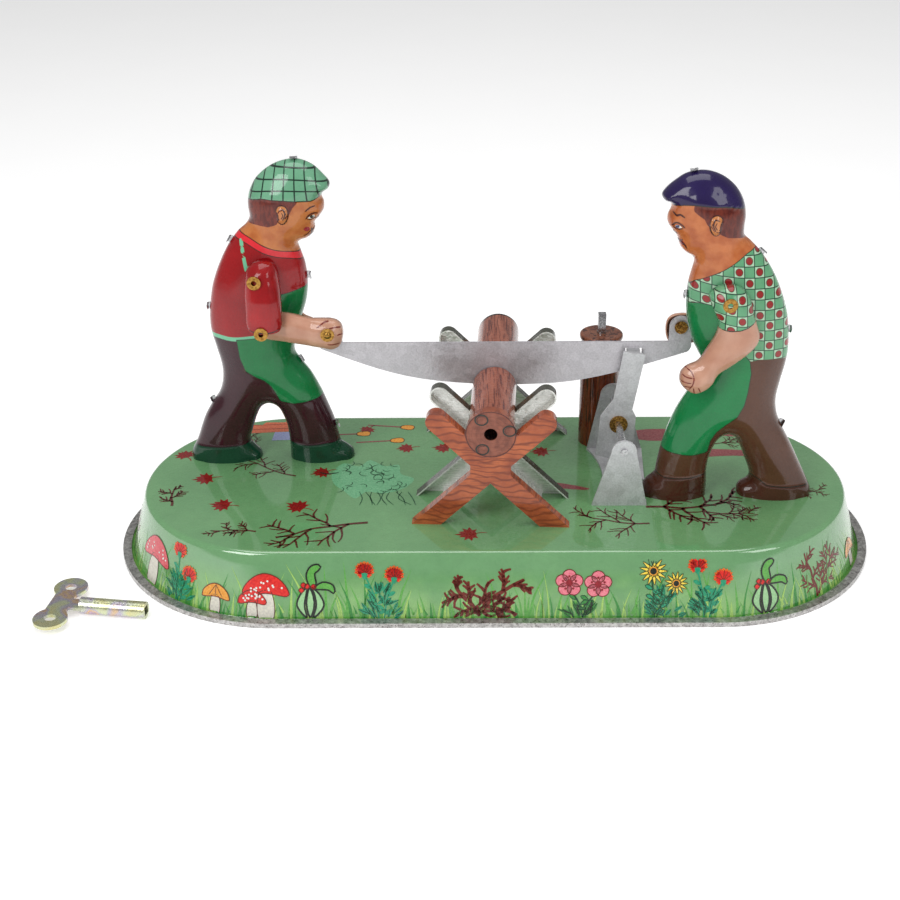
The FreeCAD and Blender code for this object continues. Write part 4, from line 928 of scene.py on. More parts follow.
def make_skirt_print():
    sheet = Print(skirt_spot, keep=on_skirt)
    chance = random.Random(7)
    half = 2 * HALF_STRAIGHT + math.pi * ARC_RADIUS
    u = -half
    while u < half:
        tall = chance.uniform(3.5, 9.0) if chance.random() < 0.66 else chance.uniform(9.0, 17.0)
        lean = chance.uniform(-3.6, 3.6) * tall / 9
        colour = chance.choice(["grass_dark", "grass", "grass", "grass_light"])
        blade = [(u, 1.1), (u + lean * 0.25, tall * 0.5), (u + lean, tall)]
        sheet.line(blade, chance.uniform(0.55, 1.15), colour, chance.choice((1, 2, 3)), 0.05, 1.2, True)
        u += chance.uniform(0.5, 1.1)
    for shift in (0.0, half, -half + 40):
        front = shift == 0.0
        if front:
            mushroom(sheet, -103.5, 1.3, 13.5, "pink_red")
            mushroom(sheet, -78.6, 1.2, 8.0, "amber", False)
            mushroom(sheet, -68.0, 1.2, 7.6, "red")
            mushroom(sheet, -64.2, 1.2, 12.2, "red")
            gourd(sheet, -52.0, 1.4)
            gourd(sheet, 74.6, 1.4)
            mushroom(sheet, 113.0, 1.2, 8.0, "amber", False)
        for a, low, flowers in ((-91.0, 1.2, ((-92.3, 15.2), (-87.8, 9.4))),
                                (-32.0, 1.2, ((-36.6, 14.2), (-28.4, 13.0))),
                                (58.5, 1.2, ((55.6, 15.4), (62.8, 12.0)))):
            foliage(sheet, a + shift, low + 0.8, 10.0, 5.0, "teal", "dark_green", int(a), 34)
            for k, (x, y) in enumerate(flowers):
                leafy_stem(sheet, a + shift + 1.5 * (k - 0.5), low, y - 1.0, x - a - 1.5 * (k - 0.5),
                           "teal", None, 6)
                carnation(sheet, x + shift, y, 2.9)
        foliage(sheet, 24.0 + shift, 1.6, 5.0, 6.5, "grass_dark", "black", 91, 18)
        foliage(sheet, 46.5 + shift, 1.6, 9.0, 5.0, "teal", "dark_green", 93, 30)
        for x, y in ((20.2, 10.8), (28.2, 10.4)):
            leafy_stem(sheet, 24.0 + shift, 1.2, y - 1.5, x - 24.0, "grass_dark", "dark_green", 4)
            pink_flower(sheet, x + shift, y, 3.7)
        for x, y, size in ((43.4, 14.0, 3.9), (49.8, 10.6, 3.3)):
            leafy_stem(sheet, 44.0 + shift + 0.5 * (x > 45), 1.2, y - 1.5, x - 44.5, "teal", "dark_green",
                       6)
            sunflower(sheet, x + shift, y, size)
        twig(sheet, -3.5 + shift, 1.6, 13.5, 136, "brown", 51, 1.5, 0.8)
        twig(sheet, -5.5 + shift, 2.0, 16.5, 38, "brown", 53, 1.5, 0.8)
        twig(sheet, -9.0 + shift, 1.8, 13.0, 14, "brown", 57, 1.2, 0.7)
        twig(sheet, 92.0 + shift, 1.4, 14.0, 100, "brown", 61, 0.9, 0.8)
        twig(sheet, 92.5 + shift, 2.0, 13.0, 50, "brown", 67, 0.8, 0.8)
    sheet.build("skirt_print", "frame")


# ---- pressed shapes --------------------------------------------------------------------------
INSET_TURNS = (8, 17, 26, 35, 45, 55)    # degrees round the rolled edge where rows of points lie
MESH_STEP = 0.6
ARM_SHEET = 0.4


def dome(points, walls, height, radius):
    share = np.clip(distance(points, walls) / radius(points), 0, 1)
    return height(points) * np.sqrt(np.maximum(1 - (1 - share) ** 2, 0))


def softened(points, ring, walls, height, radius, spread):
    """The dome's height at the points, blurred over about `spread` so its ridges don't show."""
    step = max(spread / 3.0, 0.25)
    low = ring.min(0) - 3 * spread
    counts = np.ceil((ring.max(0) + 3 * spread - low) / step).astype(int) + 1
    grid = np.stack(np.meshgrid(*(low[k] + np.arange(counts[k]) * step for k in (0, 1)), indexing="ij"),
                    axis=-1)
    flat = grid.reshape(-1, 2)
    within = inside(flat, ring)
    past_open_edge = distance(flat, walls) > distance(flat, ring_segments(ring)) + 1e-6
    weight = np.where(within | ~past_open_edge, 1.0, 0.0)
    layers = [weight * np.where(within, dome(flat, walls, height, radius), 0.0), weight]
    reach = np.arange(-9, 10) * step
    kernel = np.exp(-0.5 * (reach / spread) ** 2)
    for k, layer in enumerate(layers):
        layer = layer.reshape(counts)
        for axis in (0, 1):
            layer = np.apply_along_axis(np.convolve, axis, layer, kernel, "same")
        layers[k] = layer
    smooth = layers[0] / np.maximum(layers[1], 1e-9)
    place = (points - low) / step
    cell = np.clip(np.floor(place).astype(int), 0, counts - 2)
    a, b = (place - cell).T
    i, j = cell.T
    return ((1 - a) * (1 - b) * smooth[i, j] + a * (1 - b) * smooth[i + 1, j]
            + (1 - a) * b * smooth[i, j + 1] + a * b * smooth[i + 1, j + 1])


def pressed(name, body, ring, open_edge, height, radius, plane, side, fields, material, replaced,
            bumps=(), wall=0.0):
    """A half shell pressed out of a plane: height(p) above it for points p, rolled down at its edge.

    open_edge(a, b) marks edges that don't turn down, such as soles and hems. fields are stored on the
    mesh for the printing. side is -1 for the half towards -Y and +1 for the other.
    """
    segments = ring_segments(ring)
    walls = np.array([s for s in segments if not open_edge(s[0], s[1])])
    ahead, behind = np.roll(ring, -1, axis=0), np.roll(ring, 1, axis=0)
    along = ahead - behind
    along /= np.maximum(np.hypot(along[:, 0], along[:, 1]), 1e-9)[:, None]
    area = (ring[:, 0] * ahead[:, 1] - ring[:, 1] * ahead[:, 0]).sum()
    inward = np.stack([-along[:, 1], along[:, 0]], axis=1) * (1 if area > 0 else -1)
    local = radius(ring)
    extra = []
    for turn in INSET_TURNS:
        step = local * (1 - math.cos(math.radians(turn)))
        moved = ring + inward * step[:, None]
        good = inside(moved, ring) & (distance(moved, walls) > step * 0.92) & (distance(moved,
                                                                                        segments) > 0.06)
        extra.append(moved[good])
    grid = hexagons(ring, MESH_STEP)
    grid = grid[inside(grid, ring)]
    gap = distance(grid, walls)
    grid = grid[(gap > radius(grid) * 0.5) & (distance(grid, segments) > MESH_STEP * 0.4)]
    points, faces = triangulate(ring, np.concatenate(extra + [grid]))
    depth = distance(points, walls)
    lift = dome(points, walls, height, radius)
    soften = radius(ring).mean()
    mix = smooth_step(depth, soften * 0.06, soften * 0.5)
    lift = lift * (1 - mix) + mix * softened(points, ring, walls, height, radius, soften * 0.22)
    for distances, amount, soft in bumps:
        lift = lift + amount * smooth_step(distances(points), -soft, soft) * np.clip(depth / 2.0, 0, 1)
    seat = fields.get("seat", lambda p: np.zeros(len(p)))(points)
    lift = lift + seat
    solid = np.stack([points[:, 0], plane + side * lift, points[:, 1]], axis=1)
    order = faces if side < 0 else faces[:, ::-1]
    made = make_object(name, body, solid, order, [material], replaced=replaced)
    for key, field in fields.items():
        if key != "seat":
            layer = made.data.attributes.new(key, "FLOAT", "POINT")
            layer.data.foreach_set("value", field(points).astype(np.float32))
    tree = BVHTree.FromPolygons([tuple(p) for p in solid], [tuple(int(i) for i in f) for f in order])
    if wall:
        shell = made.modifiers.new("wall", "SOLIDIFY")
        shell.thickness = wall * MM
        shell.offset = -1.0

    def spot(x, z):
        start = Vector((x, plane + side * 40, z))
        hit, normal, _, _ = tree.ray_cast(start, Vector((0, -side, 0)))
        if hit is None:
            hit, normal, _, _ = tree.find_nearest(Vector((x, plane + side * 4, z)))
        if normal.y * side < 0:
            normal = -normal
        return tuple(hit), tuple(normal)
    return spot


def sole(a, b):
    return a[1] < BASE_TOP + 0.02 and b[1] < BASE_TOP + 0.02


def man_ring(outer, inner):
    """The closed outline of a man from his outer line, heel to toe over the head, and inner line."""
    parts = []
    lines = [spline(outer, 0.5), spline(inner, 0.5)]
    for line, following in zip(lines, lines[1:] + lines[:1]):
        parts.append(line)
        start, end = line[-1], following[0]
        length = abs(end[0] - start[0])
        near = [0.1, 0.3, 0.7, 1.2, 1.8, 2.6]
        stops = sorted(set(near + [length - n for n in near] + list(np.arange(3.4, length - 3.0, 0.7))))
        shares = [s / length for s in stops if 0 < s < length]
        parts.append(np.array([start + (end - start) * s for s in shares]))
    return np.concatenate(parts)


def ring_field(outline):
    ring = np.array(outline, float)
    return lambda points: signed(points, ring)


def line_field(lines, half_width):
    def field(points):
        best = np.full(len(points), -1e9)
        for line in lines:
            best = np.maximum(best, band(points, line, half_width))
        return best
    return field


def several(fields):
    return lambda points: np.max([field(points) for field in fields], axis=0)


LEFT = {
    "plane": 16.0,
    "outer": [(-93.4, 19.3), (-93.3, 21.5), (-91.3, 25.6), (-88.4, 33.2), (-85.8, 37.8), (-83.3, 41.5),
              (-82.0, 45.5), (-81.8, 50.4), (-83.0, 56.8), (-84.0, 61.5), (-84.2, 65.2), (-83.8, 70.0),
              (-82.5, 76.4), (-80.3, 82.2), (-77.2, 88.2), (-73.9, 92.6), (-71.5, 94.7), (-70.2, 97.0),
              (-70.4, 100.1), (-70.2, 102.9), (-69.3, 105.6), (-67.4, 108.6), (-63.7, 111.6),
              (-59.9, 113.2),
              (-55.6, 113.6), (-51.4, 111.9), (-48.4, 109.0), (-46.8, 106.8), (-47.1, 105.3),
              (-48.6, 104.2),
              (-49.2, 103.1), (-48.6, 101.2), (-48.8, 99.0), (-50.2, 97.0), (-51.6, 95.2), (-51.5, 93.5),
              (-52.3, 92.0), (-53.9, 90.6), (-55.6, 90.0), (-56.7, 89.0), (-56.0, 86.4), (-54.9, 82.4),
              (-54.5, 77.0), (-55.2, 71.3), (-56.7, 66.5), (-58.6, 60.4), (-59.6, 55.2), (-57.6, 51.4),
              (-55.0, 47.6), (-52.4, 42.3), (-50.3, 36.8), (-48.6, 31.8), (-47.7, 27.6), (-46.9, 24.4),
              (-44.9, 22.8), (-43.2, 21.2), (-42.9, 19.3)],
    "inner": [(-62.8, 19.3), (-62.8, 23.9), (-63.2, 29.4), (-64.4, 33.9), (-66.0, 36.8), (-68.3, 37.8),
              (-70.6, 36.6), (-72.4, 33.4), (-73.9, 29.0), (-74.9, 25.2), (-73.3, 22.6), (-71.9, 21.0),
              (-71.6, 19.3)],
    "levels": [19.3, 23, 28, 38, 44, 50, 56, 62, 76, 82.5, 88, 91.5, 94.6, 98.5, 103, 107.5, 111, 114],
    "depths": [5.6, 5.3, 5.7, 6.5, 7.0, 7.4, 7.8, 8.0, 8.0, 7.7, 7.0, 6.7, 7.0, 7.4, 7.5, 7.2, 6.6, 6.0],
}
RIGHT = {
    "plane": -8.4,
    "outer": [(93.4, 19.3), (93.2, 21.2), (92.2, 23.4), (89.5, 28.8), (86.1, 35.6), (83.0, 41.3),
              (81.1, 45.8),
              (80.4, 50.5), (81.1, 56.2), (82.0, 61.2), (82.4, 65.6), (82.1, 70.4), (81.0, 77.0),
              (78.4, 84.2),
              (75.6, 89.6), (72.3, 94.3), (69.3, 97.4), (67.4, 99.2), (67.1, 101.5), (67.2, 105.3),
              (66.2, 109.3), (63.7, 113.0), (59.9, 115.8), (55.5, 117.0), (50.9, 116.3), (47.4, 114.0),
              (45.2, 111.9), (44.4, 110.4), (45.2, 109.0), (46.9, 108.3), (47.1, 106.9), (46.3, 104.8),
              (46.4, 102.8), (47.6, 101.0), (49.0, 99.2), (49.7, 97.4), (50.3, 95.9), (51.8, 94.4),
              (53.6, 93.3),
              (54.3, 91.8), (53.7, 88.8), (53.0, 84.8), (52.9, 79.2), (53.6, 74.0), (55.2, 68.8),
              (57.1, 64.8),
              (58.9, 61.4), (58.7, 58.0), (56.3, 54.1), (53.8, 49.8), (51.8, 45.6), (49.9, 40.2),
              (48.4, 34.2),
              (47.5, 28.8), (47.0, 25.8), (44.9, 23.8), (43.7, 21.8), (43.5, 19.3)],
    "inner": [(62.5, 19.3), (62.5, 22.8), (62.3, 27.7), (62.8, 31.8), (63.9, 35.3), (65.4, 37.9),
              (67.2, 38.9),
              (69.3, 38.2), (70.9, 36.0), (73.1, 30.9), (74.8, 26.4), (74.6, 24.0), (72.4, 22.4),
              (71.6, 21.0),
              (71.7, 19.3)],
    "levels": [19.3, 23, 28, 38, 44, 50, 56, 62, 78, 85, 91, 94, 97.3, 101.5, 106.5, 110.5, 114, 117],
    "depths": [5.6, 5.3, 5.7, 6.5, 7.0, 7.4, 7.8, 8.0, 8.0, 7.7, 7.0, 6.8, 7.0, 7.4, 7.5, 7.2, 6.6, 6.0],
}
LEFT_FIELDS = {
    "cap": ring_field([(-75, 102.0), (-71, 102.4), (-68.5, 103.2), (-65.2, 103.9), (-59.6, 103.7),
                       (-54.7, 103.2), (-51.5, 102.9), (-49.4, 103.5), (-47.8, 104.4), (-44, 105.5),
                       (-44, 118),
                       (-75, 118)]),
    "hair": ring_field([(-73, 106), (-73, 96.6), (-70.2, 95.8), (-67.8, 95.9), (-64.3, 95.7), (-61.8, 96.5),
                        (-60.8, 98.0), (-58.8, 98.6), (-57.9, 99.6), (-57.0, 101.4), (-55.8, 102.6),
                        (-54.6, 106)]),
    "skin": ring_field([(-78, 93.4), (-74.5, 93.2), (-72, 92.7), (-69.5, 91.8), (-66.8, 90.4),
                        (-62.6, 88.5),
                        (-58.4, 87.4), (-56, 86.6), (-52, 85.0), (-40, 85), (-40, 108), (-78, 108)]),
    "collar": line_field([[(-77.5, 92.4), (-74.2, 92.3), (-71.6, 91.6), (-68.9, 90.4), (-66.0, 88.9),
                           (-62.4, 87.6), (-58.5, 86.6), (-55.6, 85.6), (-52.0, 84.2)]], 0.95),
    "strap": several([line_field([[(-72.6, 91.0), (-72.2, 88), (-71.3, 83)]], 0.55),
                      line_field([[(-86, 61.4), (-82, 61.6), (-79.5, 61.5), (-76.5, 61.5), (-73, 61.9),
                                   (-66, 62.8)]], 0.65)]),
    "apron": ring_field([(-62.8, 75.4), (-59.1, 75.8), (-56.5, 76.3), (-50, 77), (-46, 60), (-42, 41.6),
                         (-48.5, 41.6), (-51.5, 40.9), (-55.2, 40.4), (-60.5, 40.0), (-64.2, 40.6),
                         (-65.3, 43.6), (-66.6, 46.2), (-68.4, 48.0), (-71, 49.3), (-73.8, 51.2),
                         (-75.2, 55.4),
                         (-75.7, 61.4), (-66, 62.4), (-63.8, 68)]),
    "pants": ring_field([(-95, 61.6), (-82, 61.8), (-76, 61.4), (-60, 62.0), (-40, 62), (-36, 15),
                         (-100, 15)]),
    "shoes": several([ring_field([(-97, 23.2), (-91.8, 24.2), (-86, 24.7), (-80, 24.9), (-76.4, 24.7),
                                  (-73.6, 25.4), (-69, 23), (-69, 15), (-97, 15)]),
                      ring_field([(-66, 23.8), (-61.8, 25.4), (-57.5, 25.2), (-51.3, 25.6), (-47.6, 25.4),
                                  (-45.6, 25.6), (-40, 22), (-40, 15), (-66, 15)])]),
}
RIGHT_FIELDS = {
    "cap": ring_field([(42, 108.6), (44.8, 108.2), (47.2, 108.2), (49.7, 109.0), (52.6, 109.4), (57, 109.1),
                       (61.5, 108.7), (65, 107.8), (69, 106.4), (69, 120), (42, 120)]),
    "hair": ring_field([(52.4, 112), (52.2, 107.8), (53.6, 106.7), (55.1, 105.7), (55.9, 104.2),
                        (57.2, 103),
                        (59.4, 101.6), (61.8, 100.3), (64.5, 99.8), (66.5, 99.2), (69, 98.6), (69, 112)]),
    "skin": ring_field([(48, 83.2), (51, 83.4), (52.8, 85.2), (54.5, 87.2), (56.8, 88.4), (61.6, 91.2),
                        (65.4, 93.7), (67.6, 95.2), (69.6, 96.0), (73, 96.4), (73, 112), (40, 112),
                        (40, 83)]),
    "apron": ring_field([(46, 79.0), (51, 79.4), (53, 80.4), (55.6, 81.3), (59.2, 81.2), (60.6, 80.8),
                         (61.0, 78.4), (62.4, 74.7), (66, 70), (70.5, 64.9), (71.2, 61.1), (70.8, 55),
                         (70.2, 51.1), (68.6, 47.2), (65.4, 44.2), (63.4, 42.0), (61.9, 38.8), (61.5, 34.8),
                         (56.8, 34.4), (51.7, 34.6), (48.5, 34.9), (44, 35.2), (40, 50)]),
    "pants": ring_field([(50, 64.6), (71, 64.9), (73.3, 65.3), (77.5, 64.9), (80.5, 64.2), (88, 63),
                         (100, 15),
                         (38, 15), (38, 60)]),
    "shoes": several([ring_field([(40, 22.6), (43.6, 24.2), (45.6, 26.0), (47.4, 26.9), (49.4, 26.3),
                                  (55, 26.6), (60.8, 27.0), (65, 26.4), (65, 15), (40, 15)]),
                      ring_field([(69, 22.4), (71.6, 23.4), (73.4, 25.2), (75.4, 26.2), (77.2, 25.6),
                                  (79.2, 24.0),
                                  (84, 23.6), (90.9, 23.1), (97, 22.4), (97, 15), (69, 15)])]),
}


def man_height(man):
    return lambda p: np.interp(p[:, 1], man["levels"], man["depths"])


def man_radius(man):
    top = man["outer"][24][1]
    levels = [19.3, 30, 40, 50, 60, top - 30, top - 22, top - 14, top - 6, top]
    values = [7.6, 7.4, 7.6, 10, 11.5, 11.5, 9.0, 9.0, 9.5, 9.5]
    return lambda p: np.interp(p[:, 1], levels, values)


def draw_left(sheet):
    for points, width in (([(-53.6, 100.0), (-52.2, 101.0), (-50.8, 101.3)], 0.42),
                          ([(-53.6, 97.6), (-52.6, 98.7), (-51.2, 99.2), (-50.3, 98.9)], 0.42),
                          ([(-53.2, 97.4), (-52.0, 97.2), (-50.9, 97.8)], 0.26),
                          ([(-50.0, 97.9), (-50.5, 97.0), (-51.2, 97.2)], 0.22),
                          ([(-51.2, 94.6), (-51.6, 93.6), (-52.3, 92.5), (-53.4, 91.6)], 0.5),
                          ([(-54.6, 92.2), (-53.6, 92.6), (-52.6, 93.6)], 0.22)):
        sheet.line(points, width, "brow", 6, 0.4, 0.25)
    sheet.fill([(-53.0, 97.7), (-52.3, 98.3), (-51.3, 98.6), (-51.1, 98.0), (-52.0, 97.5)], "white", 2,
               0.25)
    sheet.disc(-51.9, 98.1, 0.5, "black", 4, 12)
    sheet.disc(-51.7, 98.3, 0.13, "white", 5, 8)
    sheet.fill([(-54.4, 94.3), (-53.7, 95.0), (-52.9, 94.6), (-52.8, 93.9), (-53.6, 93.6)], "mouth", 3,
               0.25)


def draw_right(sheet):
    for points, width in (([(47.4, 106.4), (48.2, 105.8), (49.0, 106.2), (50.2, 105.6)], 0.46),
                          ([(47.2, 102.9), (48.0, 103.9), (49.0, 103.8), (50.4, 102.7)], 0.42),
                          ([(47.5, 102.5), (48.6, 102.1), (50.0, 102.5)], 0.26),
                          ([(47.8, 101.2), (48.2, 100.6), (48.9, 100.5)], 0.22),
                          ([(48.9, 98.4), (50.0, 98.0), (51.0, 97.3), (51.5, 96.4)], 0.42)):
        sheet.line(points, width, "brow", 6, 0.4, 0.25)
    sheet.fill([(47.9, 102.8), (48.3, 103.3), (49.0, 103.2), (49.6, 102.7), (48.7, 102.4)], "white", 2,
               0.25)
    sheet.disc(48.5, 102.9, 0.5, "blue", 4, 12)
    sheet.disc(48.5, 102.9, 0.28, "black", 5, 10)
    sheet.disc(48.35, 103.1, 0.12, "white", 6, 8)
    sheet.fill([(49.2, 98.6), (50.0, 98.5), (50.9, 97.7), (50.4, 97.1), (49.7, 97.7)], "mouth", 3, 0.25)


def draw_ear(sheet, x, z, flip):
    def put(points):
        return [(x + flip * a * 1.25, z + b * 1.2) for a, b in points]
    outline = put([(-1.3, 1.4), (-0.3, 2.4), (1.0, 2.0), (1.4, 0.4), (0.9, -1.4), (-0.1, -2.3),
                   (-0.9, -1.6), (-0.8, 0.2)])
    sheet.outlined(outline, "ear", "brow", 0.34, 2, 0.4)
    sheet.line(put([(-0.5, 1.3), (0.4, 1.5), (0.7, 0.2), (0.1, -1.1)]), 0.3, "brow", 6, 0.4, 0.3)
    sheet.line(put([(0.0, 0.9), (0.3, 0.1), (-0.2, -0.7)]), 0.22, "brow", 6, 0.4, 0.3)


INKS["ear"] = ink("ear", (206, 136, 84), (188, 114, 64))


def make_man(prefix, man, fields, draw, ear, flip):
    ring = man_ring(man["outer"], man["inner"])
    bumps = [(fields["cap"], 0.45, 0.25), (fields["shoes"], 0.4, 0.35), (fields["apron"], 0.12, 0.12),
             (fields["hair"], 0.15, 0.3),
             (lambda p: 2.2 - np.hypot((p[:, 0] - ear[0]) * 1.5, p[:, 1] - ear[1]), 0.7, 0.5)]
    for name, side in (("near", -1), ("far", 1)):
        node = f"{prefix}_{name}_shell"
        spot = pressed(f"{prefix}_{name}_print", "frame", ring, sole, man_height(man),
                          man_radius(man), man["plane"], side, fields, MATERIALS[prefix], [node], bumps)
        sheet = Print(spot, side > 0)
        draw(sheet)
        draw_ear(sheet, ear[0], ear[1], flip)
        sheet.build(f"{prefix}_{name}_face", "frame")


# ---- arms ------------------------------------------------------------------------------------
SLEEVE = [(-71.0, 83.9), (-69.3, 85.8), (-66.6, 86.6), (-63.8, 86.3), (-62.3, 84.4), (-61.6, 80.4),
          (-61.2, 76.0),
          (-61.2, 71.4), (-61.6, 67.5), (-65.5, 66.6), (-69.0, 66.8), (-71.2, 67.8), (-71.5, 72.0),
          (-71.7, 79.5)]
FOREARM = [(-70.9, 67.5), (-70.4, 65.2), (-68.4, 63.0), (-64.9, 62.0), (-59.2, 61.7), (-53.4, 61.8),
           (-50.0, 61.4),
           (-46.9, 61.0), (-44.6, 62.3), (-43.6, 65.6), (-44.0, 68.7), (-45.7, 70.2), (-48.6, 70.6),
           (-52.9, 70.6), (-58.6, 71.0), (-62.5, 70.9), (-66.5, 70.2), (-69.6, 69.4)]
HANGING = [(57.5, 85.6), (59.5, 87.4), (62.5, 88.2), (65.5, 87.6), (68.0, 85.4), (69.4, 82.4), (70.3, 79.2),
           (71.4, 76.2), (72.3, 73.2), (71.8, 70.6), (69.4, 67.6), (65.5, 64.3), (61.9, 61.6), (60.4, 58.6),
           (58.0, 56.5), (55.4, 55.8), (52.8, 57.2), (51.2, 59.4), (51.3, 62.3), (52.9, 64.2), (55.9, 65.8),
           (58.3, 69.9), (60.2, 73.8), (60.7, 77.0), (59.4, 80.0), (58.0, 83.2)]
HANG_SHOULDER = (62.7, 83.7)
LEFT_SHOULDER, LEFT_ELBOW = (-68.3, 81.9), (-67.1, 66.7)


def no_edge(a, b):
    return False


def moved(points, centre, target, flip):
    """Points mirrored (flip -1) or kept (flip 1) in x about centre and carried to target."""
    return [(target[0] + flip * (x - centre[0]), target[1] + z - centre[1]) for x, z in points]


def make_working_arm(prefix, man, side, shoulder, elbow, flip):
    """Sleeve and forearm of the arm that holds the saw; drawn for the left man and mirrored for the right."""
    home_shoulder, home_elbow = LEFT_SHOULDER, LEFT_ELBOW
    ring = spline(moved(SLEEVE, home_shoulder, shoulder, flip), 0.45, True)
    hem = elbow[1] + 1.35

    def open_edge(a, b):
        return a[1] < hem and b[1] < hem
    down = lambda p: shoulder[1] - p[:, 1]
    fields = {
        "seat": lambda p: np.interp(down(p), [0, 6, 11, 15.5], [8.4, 11.2, 12.9, 13.3]),
        "sleeve": lambda p: p[:, 1] - elbow[1] - 1.1 + 0.05 * (p[:, 0] - elbow[0]) ** 2 * 0.3,
    }
    height = lambda p: np.interp(down(p), [-5, 0, 6, 11, 15.5], [4.4, 5.6, 4.2, 2.95, 2.5])
    spot = pressed(f"{prefix}_sleeve_print", f"{prefix[:-4]}_upper_arm", ring,
                   open_edge,
                      height, lambda p: np.full(len(p), 3.6), man["plane"], side, fields,
                      MATERIALS[f"{prefix[:-4]}_sleeve"], [f"{prefix}_upper_arm"], wall=ARM_SHEET)
    sheet = Print(spot, side > 0)
    low, high = ring[:, 0].min(), ring[:, 0].max()
    xs = np.linspace(low + 0.7, high - 0.7, 6)
    middle = (low + high) / 2
    sheet.line([(x, elbow[1] + 1.1 - 0.9 * (1 - ((x - middle) / 4.5) ** 2)) for x in xs], 0.3, "black", 3)
    sheet.build(f"{prefix}_sleeve_line", f"{prefix[:-4]}_upper_arm")

    ring = spline(moved(FOREARM, home_elbow, elbow, flip), 0.45, True)
    out = lambda p: flip * (p[:, 0] - elbow[0])
    fields = {"seat": lambda p: np.interp(out(p), [0, 5, 10, 14.5, 24], [8.5, 8.9, 10.8, 12.7, 12.8])}
    height = lambda p: np.interp(out(p), [-4, 0, 5, 10, 14.5, 17.5, 20.5, 24],
                                 [2.2, 2.6, 2.6, 3.2, 3.4, 4.0, 4.4, 4.0])
    spot = pressed(f"{prefix}_forearm_print", f"{prefix[:-4]}_forearm", ring, no_edge,
                   height,
                      lambda p: np.full(len(p), 3.6), man["plane"], side, fields, MATERIALS["skin"],
                      [f"{prefix}_forearm"], wall=ARM_SHEET)
    sheet = Print(spot, side > 0)
    for points in ([(-51.0, 68.6), (-48.8, 70.0), (-47.6, 70.2)],
                   [(-47.4, 68.6), (-45.4, 68.7), (-43.9, 68.3)],
                   [(-45.2, 66.4), (-44.4, 66.4), (-43.8, 66.2)],
                   [(-48.0, 63.8), (-46.2, 63.7), (-44.6, 63.6)]):
        sheet.line(moved(points, home_elbow, elbow, flip), 0.36, "finger", 3, 0.5, 0.4)
    sheet.build(f"{prefix}_finger_lines", f"{prefix[:-4]}_forearm")


def make_hanging_arm(prefix, man, side, shoulder, flip):
    """The one-piece arm that hangs free; drawn for the right man and mirrored for the left."""
    ring = spline(moved(HANGING, HANG_SHOULDER, shoulder, flip), 0.45, True)
    body = f"{prefix[:-4]}_hanging_arm"
    cuff = np.array(moved([(50, 76.6), (58, 75.9), (61.3, 75.9), (66, 76.3), (70.4, 77.8), (76, 79.5),
                           (76, 95),
                           (50, 95)], HANG_SHOULDER, shoulder, flip))
    fields = {"seat": lambda p: np.full(len(p), 8.4), "sleeve": lambda p: signed(p, cuff)}
    bumps = [(fields["sleeve"], 0.35, 0.15)]
    spot = pressed(f"{prefix}_hanging_print", body, ring, no_edge,
                      lambda p: np.interp(p[:, 1], [shoulder[1] - 28, shoulder[1] - 20, shoulder[1]],
                                          [4.6, 4.2, 4.9]),
                      lambda p: np.full(len(p), 4.6), man["plane"], side, fields,
                      MATERIALS[f"{prefix[:-4]}_arm"], [f"{prefix}_hanging_arm"], bumps, ARM_SHEET)
    sheet = Print(spot, side > 0)
    for points in ([(52.2, 64.0), (53.8, 63.4), (54.6, 61.6), (54.3, 59.6), (53.6, 57.9)],
                   [(51.4, 62.3), (52.8, 61.7), (54.2, 61.7)], [(51.2, 60.4), (52.6, 60.1), (54.0, 60.2)],
                   [(51.8, 58.4), (52.9, 58.8), (53.9, 58.9)], [(54.7, 58.7), (55.0, 57.4), (55.3, 56.3)],
                   [(56.0, 58.9), (56.6, 57.6), (56.9, 56.8)]):
        sheet.line(moved(points, HANG_SHOULDER, shoulder, flip), 0.32, "finger", 3, 0.5, 0.4)
    hem = [(60.9, 75.9), (63.2, 75.9), (66, 76.3), (68.4, 77.0), (70.4, 77.8)]
    sheet.line(moved(hem, HANG_SHOULDER, shoulder, flip), 0.3, "black", 4)
    sheet.build(f"{prefix}_hanging_lines", body)


def sleeve_material(name, palette, shirt, skin_below):
    shader = tin_print(name)
    x, _, z = shader.xyz()
    tone = shader.fade(shader.noise(0.12, 3.0), 0.3, 0.7)
    colour = shirt(shader, x, z, shader.mix(tone, srgb(*palette["shirt"][0]), srgb(*palette["shirt"][1])))
    if skin_below:
        flesh = shader.mix(shader.fade(shader.noise(0.2, 3.0), 0.35, 0.65), *ARM_SKIN)
        colour = shader.mix(shader.fade(shader.attribute("sleeve"), -0.06, 0.06), flesh, colour)
    return gloss_finish(shader, colour)


for who, palette, shirt in (("left", LEFT_PALETTE, plain), ("right", RIGHT_PALETTE, dotted_shirt)):
    MATERIALS[who + "_sleeve"] = sleeve_material(who + "_sleeve_print", palette, shirt, False)
    MATERIALS[who + "_arm"] = sleeve_material(who + "_arm_print", palette, shirt, True)


